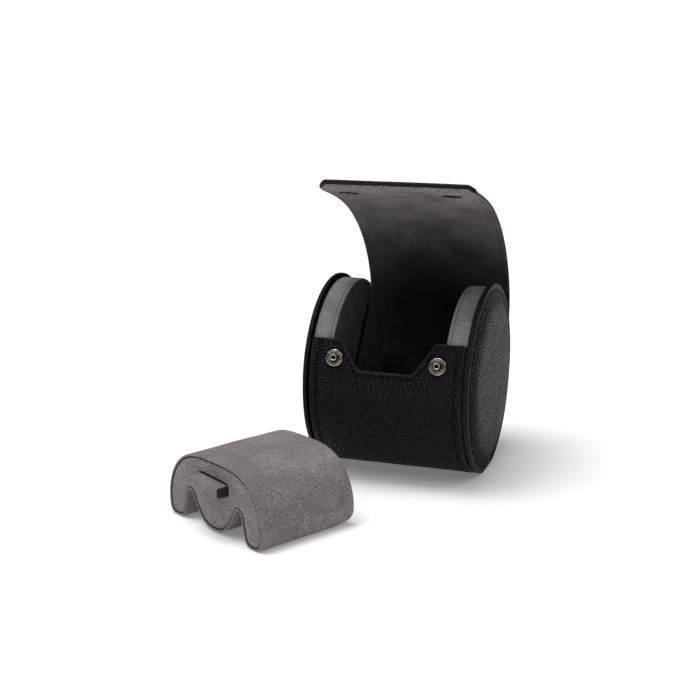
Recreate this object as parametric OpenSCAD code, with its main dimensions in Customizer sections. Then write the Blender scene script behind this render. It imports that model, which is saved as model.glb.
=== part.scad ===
// Drum-shaped watch travel case with a flexible flap lid, two snaps and a watch cushion.
// Millimetres. The drum axis runs along X, the studs face -Y, the lid hinges at +Y, Z is up.
// The drum stands on its flattened underside at Z = 0.

/* [Drum] */
// Outer radius of the leather wrap
wrap_r = 50; // [46:0.5:56]
// Height of the drum axis above the table
axis_h = 49; // [48.5:0.1:50]
// Half width of the wrap between the end caps
wrap_half = 40.2; // [38:0.1:44]
// Leather thickness of the wrap
wrap_leather_t = 0.9; // [0.6:0.1:1.2]
// Board thickness inside the wrap
wrap_board_t = 0.6; // [0.4:0.1:0.8]
// Suede lining thickness of the wrap
wrap_lining_t = 0.6; // [0.4:0.1:0.8]
// Angle of the wrap's back edge, where the lid begins
wrap_back_deg = -18; // [-24:1:-10]
// Angle of the wrap's front edge between the tabs
notch_deg = 165.5; // [160:0.5:172]
// Angle of the tab tops
tab_deg = 147.6; // [140:0.2:152]
// Half width of the front notch at its bottom
notch_half = 13.9; // [10:0.1:18]
// Half width of the front notch at the tab tops
tab_inner = 24.5; // [22:0.1:26]

/* [End discs] */
// Distance of each disc's suede face from the middle
disc_in = 29.25; // [28.8:0.05:31]
// Suede thickness
suede_t = 0.8; // [0.5:0.1:1.2]
// Width of the cushion slot
slot_w = 6.6; // [6:0.1:8]
// Depth of the cushion slot
slot_d = 7.5; // [7:0.1:9]
// Direction of the slot from the horizontal
slot_deg = 51.5; // [45:0.5:60]
// Distance of the slot's middle line from the drum axis
slot_off = 5; // [3:0.1:7]
// How far the slot runs past the foot of the axis
slot_end = 12; // [11.6:0.1:16]

/* [End caps] */
// Distance of the cap rim's outer plane from the middle
cap_out = 43.5; // [42.2:0.1:46]
// Thickness of the cap board
cap_board_t = 2.4; // [1:0.1:3]
// Radius of the seam round the padded panel
seam_r = 46.9; // [45:0.1:47.4]
// Height of the padded panel above the rim
pad_h = 2.8; // [1:0.1:5]

/* [Lid] */
// Number of stiff lengths in the lid
lid_n = 5; // [5:1:5]
// Radius of the closed lid at its outer pivots
lid_r = 53.3; // [53:0.1:55]
// Forward shift of the closed lid's centre
lid_shift = 0.7; // [0.3:0.1:1]
// Outer radius of curvature of each stiff length
lid_curve_r = 62; // [58:1:80]
// Half width of the lid
lid_half = 40.1; // [38:0.1:40.2]
// Angle of the closed lid's free edge
lid_end_deg = 171.5; // [168:0.5:174]
// Share of the opening, from closed to standing open
lid_open = 1; // [0:0.05:1]
// Opening of the first bend, at the wrap's back edge
bend_1 = 18.8; // [0:0.1:30]
// Opening of the second bend
bend_2 = 8.3; // [0:0.1:20]
// Opening of the third bend
bend_3 = 6.3; // [0:0.1:20]
// Opening of the fourth bend
bend_4 = 19.7; // [0:0.1:25]
// Opening of the fifth bend
bend_5 = 27.3; // [0:0.1:35]

/* [Snaps] */
// Angle of the studs on the front tabs
stud_deg = 159.5; // [157:0.5:161]
// Distance of each stud from the middle
stud_x = 27; // [26:0.1:30]
// Radius of the stud flange
stud_flange_r = 4.25; // [3.5:0.05:4.4]
// Radius of the socket ring
socket_r = 4.5; // [4.2:0.1:5]

/* [Cushion] */
// Width of the cushion
cushion_w = 73; // [68:0.5:76]
// Height of the cushion
cushion_h = 35.8; // [33:0.1:38]
// Length of the cushion
cushion_l = 56.4; // [50:0.1:57.5]
// Thickness of the suede cover with its lining
cover_t = 1.2; // [0.8:0.1:1.6]
// Turn of the cushion on the table
cushion_yaw = -30.4; // [-60:0.1:60]
// Place of the cushion's near end, to the side
cushion_x = -59; // [-70:0.5:-40]
// Place of the cushion's near end, to the front
cushion_y = -130.4; // [-140:0.5:-110]
// Length of the tab across the cushion's end
tab_w = 22.5; // [18:0.1:24]
// Thickness of the tab
tab_t = 5; // [4:0.1:5.6]
// Height of the tab's middle above the cushion's feet
tab_z = 24; // [20:0.1:26]
// How far the tab stands out
tab_out = 6; // [4:0.1:7]

/* [Hidden] */

leather = [0.13, 0.13, 0.14];
suede = [0.30, 0.29, 0.29];
board = [0.45, 0.38, 0.30];
foam = [0.75, 0.74, 0.70];
metal = [0.72, 0.72, 0.74];

t1 = wrap_leather_t;
t2 = t1 + wrap_board_t;
t3 = t2 + wrap_lining_t;
disc_r = wrap_r - t3;
core_out = 40.6;
bends = [bend_1, bend_2, bend_3, bend_4, bend_5];
lid_c = [-lid_shift, 0];
gap = 0.2;
lid_t1 = 0.9;
lid_t2 = 1.4;
lid_t3 = 1.9;

// Section plane: (a, b) is (Y, Z) about the drum axis, drawn from x0 to x1.
module section(x0, x1)
  translate([x0, 0, axis_h]) rotate([90, 0, 90]) linear_extrude(height = x1 - x0) children();

// Circle with the drum's flattened underside, shrunk by t on every side.
module drum2d(t)
  intersection() {
    circle(r = wrap_r - t, $fn = 128);
    translate([-80, -(axis_h - t)]) square([160, 160]);
  }

// Sector from angle a0 to a1, wide enough to cover the drum.
module sector2d(a0, a1)
  polygon(concat([[0, 0]], [for (i = [0:12]) let (a = a0 + (a1 - a0) * i / 12) 90 * [cos(a), sin(a)]]));

module slot2d()
  translate(slot_off * [-sin(slot_deg), cos(slot_deg)]) rotate(slot_deg) {
    translate([slot_w / 2 - slot_end, -slot_w / 2]) square([90, slot_w]);
    translate([slot_w / 2 - slot_end, 0]) circle(d = slot_w, $fn = 32);
  }

// Frame on the tab's outer surface at stud k, with local Z pointing outward.
module at_studs()
  for (s = [-1, 1]) translate([s * stud_x, 0, axis_h]) rotate([stud_deg - 90, 0, 0]) translate([0, 0, wrap_r]) children();

// Gap between the tabs, cut straight through the wrap.
module notch() {
  mid = (notch_deg + tab_deg) / 2;
  low = -(wrap_r) * sin(notch_deg - mid);
  high = wrap_r * sin(mid - tab_deg);
  translate([0, 0, axis_h]) rotate([mid - 90, 0, 0]) translate([0, 0, wrap_r - 10])
    linear_extrude(height = 20)
      polygon([[-notch_half, low], [notch_half, low], [tab_inner, high], [tab_inner, high + 8],
               [-tab_inner, high + 8], [-tab_inner, high]]);
}

// One layer of the wrap between depths ta and tb.
module wrap_layer(ta, tb)
  difference() {
    section(-wrap_half, wrap_half) intersection() {
      difference() { drum2d(ta); drum2d(tb); }
      sector2d(tab_deg, 360 + wrap_back_deg - 0.23);
    }
    notch();
  }

module wrap_leather() color(leather) difference() {
  wrap_layer(0, t1);
  at_studs() translate([0, 0, -0.25]) cylinder(r = stud_flange_r + 0.05, h = 3, $fn = 48);
  at_studs() translate([0, 0, -4]) cylinder(r = 1.55, h = 6, $fn = 32);
}
module wrap_board() color(board) difference() {
  wrap_layer(t1, t2);
  at_studs() translate([0, 0, -4]) cylinder(r = 3.7, h = 6, $fn = 40);
}
module wrap_lining() color(suede) wrap_layer(t2, t3);

// Stud: rounded flange, hollow post with a rolled lip.
module snap_studs() color(metal) at_studs() {
  rotate_extrude($fn = 64) polygon([
    [1.5, -0.25], [stud_flange_r, -0.25], [stud_flange_r, 0.3], [stud_flange_r - 0.3, 0.6],
    [stud_flange_r - 1, 0.6], [2.1, 0.35], [1.6, 0.9], [1.75, 1.9], [1.75, 2.3], [1.55, 2.6],
    [1.1, 2.6], [1.1, 1.3], [1.5, 1.3]]);
}
// Eyelet: flange bedded in the board and a tube up through the stud.
module stud_eyelets() color(metal) at_studs() {
  rotate_extrude($fn = 48) polygon([[0.7, -1.35], [3.6, -1.35], [3.6, -1.08], [1.5, -1.08], [1.5, 1.3], [0.7, 1.3]]);
}

// End discs.
module disc_core() difference() {
  section(disc_in + suede_t, core_out) drum2d(t3 + suede_t);
  section(disc_in - 1, disc_in + slot_d) slot2d();
}
module disc_face() difference() {
  section(disc_in, disc_in + suede_t) drum2d(t3);
  section(disc_in - 1, disc_in + slot_d) slot2d();
}
module disc_band() difference() {
  section(disc_in + suede_t, wrap_half) difference() { drum2d(t3); drum2d(t3 + suede_t); }
  section(disc_in - 1, disc_in + slot_d) slot2d();
}
module disc_core_right() color(foam) disc_core();
module disc_core_left() color(foam) mirror([1, 0, 0]) disc_core();
module disc_face_right() color(suede) disc_face();
module disc_face_left() color(suede) mirror([1, 0, 0]) disc_face();
module disc_band_right() color(suede) disc_band();
module disc_band_left() color(suede) mirror([1, 0, 0]) disc_band();

// End caps: board, leather rim, welt, foam pad and leather panel.
module cap_board() section(core_out, core_out + cap_board_t) drum2d(1);
module cap_rim() {
  section(core_out + 0.2, cap_out - 0.5) difference() { drum2d(0); drum2d(1); }
  section(cap_out - 0.5, cap_out) difference() { drum2d(0); circle(r = seam_r + 0.5, $fn = 96); }
}
module turned() translate([0, 0, axis_h]) rotate([90, 0, 90]) rotate_extrude($fn = 96) children();
module cap_welt() turned() translate([seam_r, cap_out - 0.05]) circle(r = 0.42, $fn = 20);
function dome(r, h, k) = h * pow(max(0, 1 - pow(r / k, 4)), 0.5);
pad_r = seam_r - 0.6;
module cap_pad() turned() polygon(concat(
  [[0, core_out + cap_board_t]],
  [[pad_r - 1, core_out + cap_board_t]],
  [for (i = [10:-1:0]) let (r = (pad_r - 1) * i / 10) [r, cap_out - 0.4 + dome(r, pad_h - 0.5, pad_r - 1)]]));
module cap_panel() turned() polygon(concat(
  [for (i = [0:10]) let (r = (pad_r - 1) * i / 10) [r, cap_out - 0.4 + dome(r, pad_h - 0.5, pad_r - 1)]],
  [[pad_r - 1, core_out + cap_board_t], [pad_r, core_out + cap_board_t], [pad_r, cap_out - 0.2]],
  [for (i = [10:-1:0]) let (r = pad_r * i / 10) [r, cap_out + 0.2 + dome(r, pad_h - 0.2, pad_r)]]));
module cap_board_right() color(board) cap_board();
module cap_board_left() color(board) mirror([1, 0, 0]) cap_board();
module cap_rim_right() color(leather) cap_rim();
module cap_rim_left() color(leather) mirror([1, 0, 0]) cap_rim();
module cap_welt_right() color(leather) cap_welt();
module cap_welt_left() color(leather) mirror([1, 0, 0]) cap_welt();
module cap_pad_right() color(foam) cap_pad();
module cap_pad_left() color(foam) mirror([1, 0, 0]) cap_pad();
module cap_panel_right() color(leather) cap_panel();
module cap_panel_left() color(leather) mirror([1, 0, 0]) cap_panel();

// Lid: the flap is built closed, as stiff lengths joined at pivots on its outer skin,
// and each length is then swung open about the pivots before it.
function lid_deg(k) = wrap_back_deg + (lid_end_deg - wrap_back_deg) * k / lid_n;
function radial(k) = [cos(lid_deg(k)), sin(lid_deg(k))];
function along(k) = [-sin(lid_deg(k)), cos(lid_deg(k))];
function pivot(k) = k == 0 ? (wrap_r + 0.4) * radial(0) : lid_c + lid_r * radial(k);
function arc_mid(k) = (pivot(k - 1) + pivot(k)) / 2;
function arc_out(k) = let (d = (pivot(k) - pivot(k - 1)) / norm(pivot(k) - pivot(k - 1))) [d[1], -d[0]];
function arc_c(k) = arc_mid(k) - arc_out(k) * sqrt(pow(lid_curve_r, 2) - pow(norm(pivot(k) - pivot(k - 1)) / 2, 2));

module swing(k) {
  if (k == 0) children();
  else swing(k - 1)
    translate([0, pivot(k - 1)[0], axis_h + pivot(k - 1)[1]]) rotate([-bends[k - 1] * lid_open, 0, 0])
      translate([0, -pivot(k - 1)[0], -axis_h - pivot(k - 1)[1]]) children();
}

module lid_layer2d(k, ta, tb) intersection() {
  translate(arc_c(k)) difference() {
    circle(r = lid_curve_r - ta, $fn = 128);
    circle(r = lid_curve_r - tb, $fn = 128);
  }
  polygon([pivot(k - 1) - 12 * radial(k - 1) + gap * along(k - 1), pivot(k - 1) + 6 * radial(k - 1) + gap * along(k - 1),
           pivot(k) + 6 * radial(k) - gap * along(k), pivot(k) - 12 * radial(k) - gap * along(k)]);
}

// Cut corners of the free edge.
module lid_corners()
  translate([0, pivot(lid_n)[0], axis_h + pivot(lid_n)[1]]) rotate([lid_deg(lid_n) - 90, 0, 0])
    for (s = [-1, 1]) translate([0, 0, -15]) linear_extrude(height = 30)
      polygon([[s * (lid_half - 6), -2], [s * (lid_half + 2), -2], [s * (lid_half + 2), 7.2], [s * lid_half, 5.2], [s * (lid_half - 6), 0.2]]);

module lid_layer(k, ta, tb) swing(k) difference() {
  section(-lid_half, lid_half) lid_layer2d(k, ta, tb);
  if (k == lid_n) {
    lid_corners();
    at_studs() translate([0, 0, -4]) cylinder(r = socket_r + 0.05, h = 14, $fn = 48);
  }
}
module lid_leather_1() color(leather) lid_layer(1, 0, lid_t1);
module lid_leather_2() color(leather) lid_layer(2, 0, lid_t1);
module lid_leather_3() color(leather) lid_layer(3, 0, lid_t1);
module lid_leather_4() color(leather) lid_layer(4, 0, lid_t1);
module lid_leather_5() color(leather) lid_layer(5, 0, lid_t1);
module lid_board_1() color(board) lid_layer(1, lid_t1, lid_t2);
module lid_board_2() color(board) lid_layer(2, lid_t1, lid_t2);
module lid_board_3() color(board) lid_layer(3, lid_t1, lid_t2);
module lid_board_4() color(board) lid_layer(4, lid_t1, lid_t2);
module lid_board_5() color(board) lid_layer(5, lid_t1, lid_t2);
module lid_lining_1() color(suede) lid_layer(1, lid_t2, lid_t3);
module lid_lining_2() color(suede) lid_layer(2, lid_t2, lid_t3);
module lid_lining_3() color(suede) lid_layer(3, lid_t2, lid_t3);
module lid_lining_4() color(suede) lid_layer(4, lid_t2, lid_t3);
module lid_lining_5() color(suede) lid_layer(5, lid_t2, lid_t3);

// Socket ring set through the lid, its wire spring and the cap outside.
sock_in = 1.35;
sock_out = 3.9;
module snap_sockets() color(metal) swing(lid_n) at_studs()
  rotate_extrude($fn = 64) polygon([[2.4, sock_in], [socket_r - 0.4, sock_in], [socket_r, sock_in + 0.4], [socket_r, sock_out],
    [0.8, sock_out], [0.8, sock_out - 0.5], [2.5, sock_out - 0.5], [2.5, sock_in + 1.1], [2.4, sock_in + 0.9]]);
module socket_springs() color(metal) swing(lid_n) at_studs()
  translate([0, 0, sock_in + 1.5]) rotate_extrude($fn = 48) translate([2.31, 0]) circle(r = 0.18, $fn = 16);
module snap_caps() color(metal) swing(lid_n) at_studs() {
  rotate_extrude($fn = 64) polygon([[0, sock_out - 0.6], [0.75, sock_out - 0.6], [0.75, sock_out + 0.02], [5.8, sock_out + 0.02],
    [6, sock_out + 0.3], [5.6, sock_out + 0.7], [4.2, sock_out + 1.05], [2, sock_out + 1.25], [0, sock_out + 1.3]]);
}

// Cushion outline: arched top, two feet, a rounded hump between two grooves.
zc = 9.85;
function arch(n) = [for (i = [0:n]) let (a = 180 * i / n, c = cos(a), s = max(sin(a), 0))
  [cushion_w / 2 * sign(c) * pow(abs(c), 2 / 3.395), zc + (cushion_h - zc) * pow(s, 2 / 1.756)]];
function foot(s) = [[s * 36.4, 6.5], [s * 36, 3.5], [s * 35, 1.4], [s * 33, 0.25], [s * 30.6, 0], [s * 28, 0], [s * 26, 0.3], [s * 24.4, 1.3],
  [s * 23.3, 3], [s * 22.6, 6], [s * 21.9, 10], [s * 20.9, 14], [s * 19.7, 16.2], [s * 18.4, 16.7], [s * 17.3, 16],
  [s * 15.6, 12.8], [s * 13.4, 8.6], [s * 10.8, 5], [s * 7.8, 2.5], [s * 4.2, 1.1]];
function flip(p) = [for (i = [len(p) - 1:-1:0]) p[i]];
outline = concat(arch(36), foot(-1), [[0, 0.7]], flip(foot(1)));
function unit(v) = v / norm(v);
function side(a, b) = let (d = unit(b - a)) [-d[1], d[0]];
function inset(p, t) = [for (i = [0:len(p) - 1]) let (n = len(p), u = side(p[(i + n - 1) % n], p[i]), v = side(p[i], p[(i + 1) % n]))
  p[i] + t * (u + v) / (1 + u * v)];
module on_table() translate([cushion_x, cushion_y, 0]) rotate([0, 0, cushion_yaw]) children();
module prism(y0, y1) translate([0, y1, 0]) rotate([90, 0, 0]) linear_extrude(height = y1 - y0) children();
module tab_block(grow) translate([-tab_w / 2 - grow, 0, tab_z - tab_t / 2 - grow]) cube([tab_w + 2 * grow, tab_out + 6, tab_t + 2 * grow]);

module cushion_cover() color(suede) on_table() prism(0, cushion_l)
  difference() { polygon(outline); polygon(inset(outline, cover_t)); }
module end_panel() difference() {
  prism(1, 2.2) polygon(inset(outline, cover_t));
  translate([0, -tab_out, 0]) tab_block(0);
}
module cushion_end_near() color(suede) on_table() end_panel();
module cushion_end_far() color(suede) on_table() translate([0, cushion_l, 0]) mirror([0, 1, 0]) end_panel();
module cushion_core() color(foam) on_table() difference() {
  prism(2.2, cushion_l - 2.2) polygon(inset(outline, cover_t));
  translate([0, -tab_out, 0]) tab_block(0);
  translate([0, cushion_l + tab_out, 0]) mirror([0, 1, 0]) tab_block(0);
}
module cushion_tab_near() color(suede) on_table() translate([0, -tab_out, 0]) tab_block(0);
module cushion_tab_far() color(suede) on_table() translate([0, cushion_l + tab_out, 0]) mirror([0, 1, 0]) tab_block(0);

wrap_leather();
wrap_board();
wrap_lining();
snap_studs();
stud_eyelets();
disc_core_left();
disc_core_right();
disc_face_left();
disc_face_right();
disc_band_left();
disc_band_right();
cap_board_left();
cap_board_right();
cap_rim_left();
cap_rim_right();
cap_welt_left();
cap_welt_right();
cap_pad_left();
cap_pad_right();
cap_panel_left();
cap_panel_right();
lid_leather_1();
lid_leather_2();
lid_leather_3();
lid_leather_4();
lid_leather_5();
lid_board_1();
lid_board_2();
lid_board_3();
lid_board_4();
lid_board_5();
lid_lining_1();
lid_lining_2();
lid_lining_3();
lid_lining_4();
lid_lining_5();
snap_sockets();
socket_springs();
snap_caps();
cushion_core();
cushion_cover();
cushion_end_near();
cushion_end_far();
cushion_tab_near();
cushion_tab_far();
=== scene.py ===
import math
import bpy
import numpy as np
from mathutils import Matrix, Vector


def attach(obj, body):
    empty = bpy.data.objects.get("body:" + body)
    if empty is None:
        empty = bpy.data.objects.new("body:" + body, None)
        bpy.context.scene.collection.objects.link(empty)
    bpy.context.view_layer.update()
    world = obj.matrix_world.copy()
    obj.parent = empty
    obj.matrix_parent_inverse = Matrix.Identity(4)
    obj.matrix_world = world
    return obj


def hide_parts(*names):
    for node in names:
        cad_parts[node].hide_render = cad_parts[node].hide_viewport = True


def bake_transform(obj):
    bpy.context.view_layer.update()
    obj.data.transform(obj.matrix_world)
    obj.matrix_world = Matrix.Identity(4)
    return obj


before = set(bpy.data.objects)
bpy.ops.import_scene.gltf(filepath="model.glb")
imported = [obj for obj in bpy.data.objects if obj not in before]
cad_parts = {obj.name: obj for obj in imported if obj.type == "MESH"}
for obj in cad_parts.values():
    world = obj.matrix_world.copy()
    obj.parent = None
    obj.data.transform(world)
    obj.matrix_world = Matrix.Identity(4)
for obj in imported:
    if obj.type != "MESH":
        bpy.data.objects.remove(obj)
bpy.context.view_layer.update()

MM = 0.001
AX = 49.0          # height of the drum axis, mm
R = 50.0           # outer radius of the wrap
W = 40.15          # half width of wrap and lid
T = 2.0            # thickness of the bonded sheet
DEG = math.pi / 180
rng = np.random.default_rng(7)

# ------------------------------------------------------------------ materials


def new_mat(name):
    m = bpy.data.materials.new(name)
    m.use_nodes = True
    nt = m.node_tree
    for n in list(nt.nodes):
        nt.nodes.remove(n)
    out = nt.nodes.new("ShaderNodeOutputMaterial")
    b = nt.nodes.new("ShaderNodeBsdfPrincipled")
    nt.links.new(b.outputs[0], out.inputs[0])
    return m, nt, b


def nd(nt, kind, **kw):
    n = nt.nodes.new(kind)
    for k, v in kw.items():
        if k.startswith("i_"):
            key = k[2:]
            n.inputs[int(key) if key.isdigit() else key.replace("_", " ")].default_value = v
        else:
            setattr(n, k, v)
    return n


def math_n(nt, op, a, b=None, c=None):
    n = nt.nodes.new("ShaderNodeMath")
    n.operation = op
    for i, v in enumerate((a, b, c)):
        if v is None:
            continue
        if isinstance(v, (int, float)):
            n.inputs[i].default_value = v
        else:
            nt.links.new(v, n.inputs[i])
    return n.outputs[0]


def ramp(nt, fac, stops, interp="LINEAR"):
    n = nt.nodes.new("ShaderNodeValToRGB")
    e = n.color_ramp.elements
    n.color_ramp.interpolation = interp
    while len(e) < len(stops):
        e.new(0.5)
    for el, (p, c) in zip(e, stops):
        el.position = p
        el.color = (c[0], c[1], c[2], 1) if not isinstance(c, (int, float)) else (c, c, c, 1)
    nt.links.new(fac, n.inputs[0])
    return n.outputs[0]


def maprange(nt, v, a, b, c, d, smooth=True):
    n = nt.nodes.new("ShaderNodeMapRange")
    n.interpolation_type = "SMOOTHSTEP" if smooth else "LINEAR"
    nt.links.new(v, n.inputs[0])
    for i, x in enumerate((a, b, c, d)):
        n.inputs[i + 1].default_value = x
    return n.outputs[0]


def mixc(nt, fac, a, b, mode="MIX"):
    n = nt.nodes.new("ShaderNodeMix")
    n.data_type = "RGBA"
    n.blend_type = mode
    for i, v in ((0, fac), (6, a), (7, b)):
        if isinstance(v, (int, float)):
            n.inputs[i].default_value = v
        elif isinstance(v, tuple):
            n.inputs[i].default_value = (*v, 1)
        else:
            nt.links.new(v, n.inputs[i])
    return n.outputs[2]


def uv_mm(nt, sx=1.0, sy=1.0):
    tc = nt.nodes.new("ShaderNodeTexCoord")
    mp = nt.nodes.new("ShaderNodeMapping")
    mp.inputs["Scale"].default_value = (100 * sx, 100 * sy, 1)
    nt.links.new(tc.outputs["UV"], mp.inputs[0])
    return mp.outputs[0]


def noise(nt, vec, scale, detail=2.0, rough=0.5, dim="2D"):
    n = nd(nt, "ShaderNodeTexNoise", noise_dimensions=dim)
    n.inputs["Scale"].default_value = scale
    n.inputs["Detail"].default_value = detail
    n.inputs["Roughness"].default_value = rough
    nt.links.new(vec, n.inputs["Vector"])
    return n.outputs[0]


def warp(nt, vec, scale, amount):
    n = nd(nt, "ShaderNodeTexNoise", noise_dimensions="2D")
    n.inputs["Scale"].default_value = scale
    n.inputs["Detail"].default_value = 2.0
    nt.links.new(vec, n.inputs["Vector"])
    s = nt.nodes.new("ShaderNodeVectorMath")
    s.operation = "SUBTRACT"
    nt.links.new(n.outputs[1], s.inputs[0])
    s.inputs[1].default_value = (0.5, 0.5, 0.5)
    m = nt.nodes.new("ShaderNodeVectorMath")
    m.operation = "MULTIPLY_ADD"
    nt.links.new(s.outputs[0], m.inputs[0])
    m.inputs[1].default_value = (amount, amount, 0)
    nt.links.new(vec, m.inputs[2])
    return m.outputs[0]


def voronoi(nt, vec, scale, feature="DISTANCE_TO_EDGE", rand=1.0):
    n = nd(nt, "ShaderNodeTexVoronoi", voronoi_dimensions="2D", feature=feature)
    n.inputs["Scale"].default_value = scale
    n.inputs["Randomness"].default_value = rand
    nt.links.new(vec, n.inputs["Vector"])
    return n.outputs[0] if feature != "F1" else n


def leather(name, base=(0.0074, 0.0071, 0.0104), cell=0.42, depth=0.00086, rough=0.39, stretch=1.45, rot=14.0, crease_colour_and_shade=(0.0006, 0.0006, 0.0008), spec=0.125,
            line_w=0.13, painted_border_shade=None, tint=(0.84, 0.84, 1.0), dome=(-0.05, 0.38), keep_lo=0.6):
    """pebbled leather: domed grains with thin dark creases, their colour partly the grain's own and partly painted
    shade; optional painted shade towards a panel's border; UV in mm
    """
    m, nt, b = new_mat(name)
    v0 = uv_mm(nt)
    vr = nt.nodes.new("ShaderNodeVectorRotate")
    vr.rotation_type = "Z_AXIS"
    vr.inputs["Angle"].default_value = rot * DEG
    nt.links.new(v0, vr.inputs["Vector"])
    sc = nt.nodes.new("ShaderNodeVectorMath")
    sc.operation = "MULTIPLY"
    sc.inputs[1].default_value = (1.0, stretch, 1.0)
    nt.links.new(vr.outputs[0], sc.inputs[0])
    v = sc.outputs[0]
    vw = warp(nt, v, 0.16, 0.7)
    d1 = voronoi(nt, vw, cell, rand=0.78)
    dome = maprange(nt, d1, dome[0], dome[1], 0.0, 1.0)
    line = maprange(nt, d1, 0.0, line_w, 0.0, 1.0)
    big = noise(nt, v, 0.10, 2.0)
    vary = noise(nt, v, 0.40, 1.0)
    fine = noise(nt, v, 2.6, 2.0, 0.5)
    keep = maprange(nt, vary, 0.35, 0.60, keep_lo, 1.0)
    h = math_n(nt, "MULTIPLY", dome, keep)
    h = math_n(nt, "MULTIPLY_ADD", fine, 0.04, h)
    bump = nt.nodes.new("ShaderNodeBump")
    bump.inputs["Strength"].default_value = 1.0
    bump.inputs["Distance"].default_value = depth
    nt.links.new(h, bump.inputs["Height"])
    nt.links.new(bump.outputs[0], b.inputs["Normal"])
    # crease colour: partly the grain's own darker creases, partly painted shade in them
    c = mixc(nt, line, crease_colour_and_shade, base)
    c = mixc(nt, maprange(nt, big, 0.35, 0.7, 0.0, 0.35), c, (base[0] * 1.35, base[1] * 1.35, base[2] * 1.35))
    if painted_border_shade:
        # painted shade: the base colour darkens from radius r0 to r1 towards the padded panel's sloping border, leaving
        # the middle lighter
        r0, r1, k0 = painted_border_shade
        ln = nt.nodes.new("ShaderNodeVectorMath")
        ln.operation = "DISTANCE"
        ln.inputs[1].default_value = (0.0, 49.0, 0.0)
        nt.links.new(v0, ln.inputs[0])
        c = mixc(nt, maprange(nt, ln.outputs["Value"], r0, r1, 0.0, 1.0 - k0), c, (0.0015, 0.0015, 0.002))
    nt.links.new(c, b.inputs["Base Color"])
    r = maprange(nt, line, 0.0, 1.0, 0.95, rough)
    r = math_n(nt, "MULTIPLY_ADD", fine, 0.08, r)
    nt.links.new(r, b.inputs["Roughness"])
    b.inputs["Specular IOR Level"].default_value = spec
    b.inputs["Specular Tint"].default_value = (*tint, 1.0)
    return m


def suede(name, dark=(0.165, 0.150, 0.152), light=(0.270, 0.250, 0.248), speck=1.0, blotch=0.055, sheen=0.10, patch=0.55, dots=1.0, along=None):
    """napped suede: soft blotches, fine nap, sparse dark pits and pale fibres, UV in mm; along adds a painted light
    gradient along the length
    """
    m, nt, b = new_mat(name)
    v = uv_mm(nt)
    vw = warp(nt, v, 0.25, 1.0)
    s1 = noise(nt, v, 1.6, 3.0, 0.72)
    s2 = noise(nt, vw, 0.8, 3.0, 0.6)
    bl = noise(nt, warp(nt, v, 0.07, 6.0), blotch, 4.0, 0.62)
    streak = noise(nt, vw, 0.20, 3.0, 0.6)
    mid = tuple((a + c) / 2 for a, c in zip(dark, light))
    base = mixc(nt, maprange(nt, bl, 0.32, 0.68, 0.0, 1.0), dark, light)
    base = mixc(nt, 1.0 - patch, base, mid)
    base = mixc(nt, maprange(nt, streak, 0.38, 0.7, 0.0, 0.40), base, tuple(x * 0.74 for x in mid))
    k = maprange(nt, s1, 0.34, 0.66, 1.0 - speck * 0.34, 1.0 + speck * 0.30, False)
    k = math_n(nt, "MULTIPLY", k, maprange(nt, s2, 0.35, 0.65, 1.0 - speck * 0.10, 1.0 + speck * 0.09, False))
    area_n = noise(nt, v, 0.11, 2.0)
    for i, (sc, rad, lo, amt) in enumerate(((0.80, 0.24, 0.52, -0.80), (0.90, 0.21, 0.56, 0.62), (0.50, 0.13, 0.60, -0.80))):
        vo = nd(nt, "ShaderNodeTexVoronoi", voronoi_dimensions="2D", feature="F1")
        vo.inputs["Scale"].default_value = sc
        off = nt.nodes.new("ShaderNodeVectorMath")
        off.operation = "ADD"
        off.inputs[1].default_value = (37.3 * (i + 1), 11.9 * (i + 1), 0)
        nt.links.new(vw, off.inputs[0])
        nt.links.new(off.outputs[0], vo.inputs["Vector"])
        sepc = nt.nodes.new("ShaderNodeSeparateColor")
        nt.links.new(vo.outputs["Color"], sepc.inputs[0])
        dot = maprange(nt, vo.outputs["Distance"], rad * 0.3, rad * 1.5, 1.0, 0.0)
        has = maprange(nt, math_n(nt, "ADD", maprange(nt, area_n, 0.35, 0.65, -0.22, 0.22, False), sepc.outputs[0]), lo, lo + 0.45, 0.0, 1.0)
        k = math_n(nt, "MULTIPLY_ADD", math_n(nt, "MULTIPLY", dot, has), amt * dots, k)
    if along:
        # painted light: the colour brightens along the length towards the lid's free edge and darkens down inside the
        # drum
        sxy = nt.nodes.new("ShaderNodeSeparateXYZ")
        nt.links.new(v, sxy.inputs[0])
        k = math_n(nt, "MULTIPLY", k, maprange(nt, sxy.outputs[1], *along))
    k = math_n(nt, "MAXIMUM", k, 0.10)
    comb = nt.nodes.new("ShaderNodeCombineColor")
    for i in range(3):
        nt.links.new(k, comb.inputs[i])
    col = mixc(nt, 1.0, base, comb.outputs[0], "MULTIPLY")
    nt.links.new(col, b.inputs["Base Color"])
    bump = nt.nodes.new("ShaderNodeBump")
    bump.inputs["Strength"].default_value = 0.8
    bump.inputs["Distance"].default_value = 0.00024
    hh = math_n(nt, "MULTIPLY_ADD", s2, 0.6, math_n(nt, "MULTIPLY_ADD", k, 0.5, s1))
    nt.links.new(hh, bump.inputs["Height"])
    nt.links.new(bump.outputs[0], b.inputs["Normal"])
    nt.links.new(maprange(nt, s1, 0.3, 0.7, 0.98, 0.84), b.inputs["Roughness"])
    b.inputs["Specular IOR Level"].default_value = 0.12
    b.inputs["Sheen Weight"].default_value = sheen
    b.inputs["Sheen Roughness"].default_value = 0.45
    b.inputs["Sheen Tint"].default_value = (0.75, 0.72, 0.73, 1)
    return m


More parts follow.
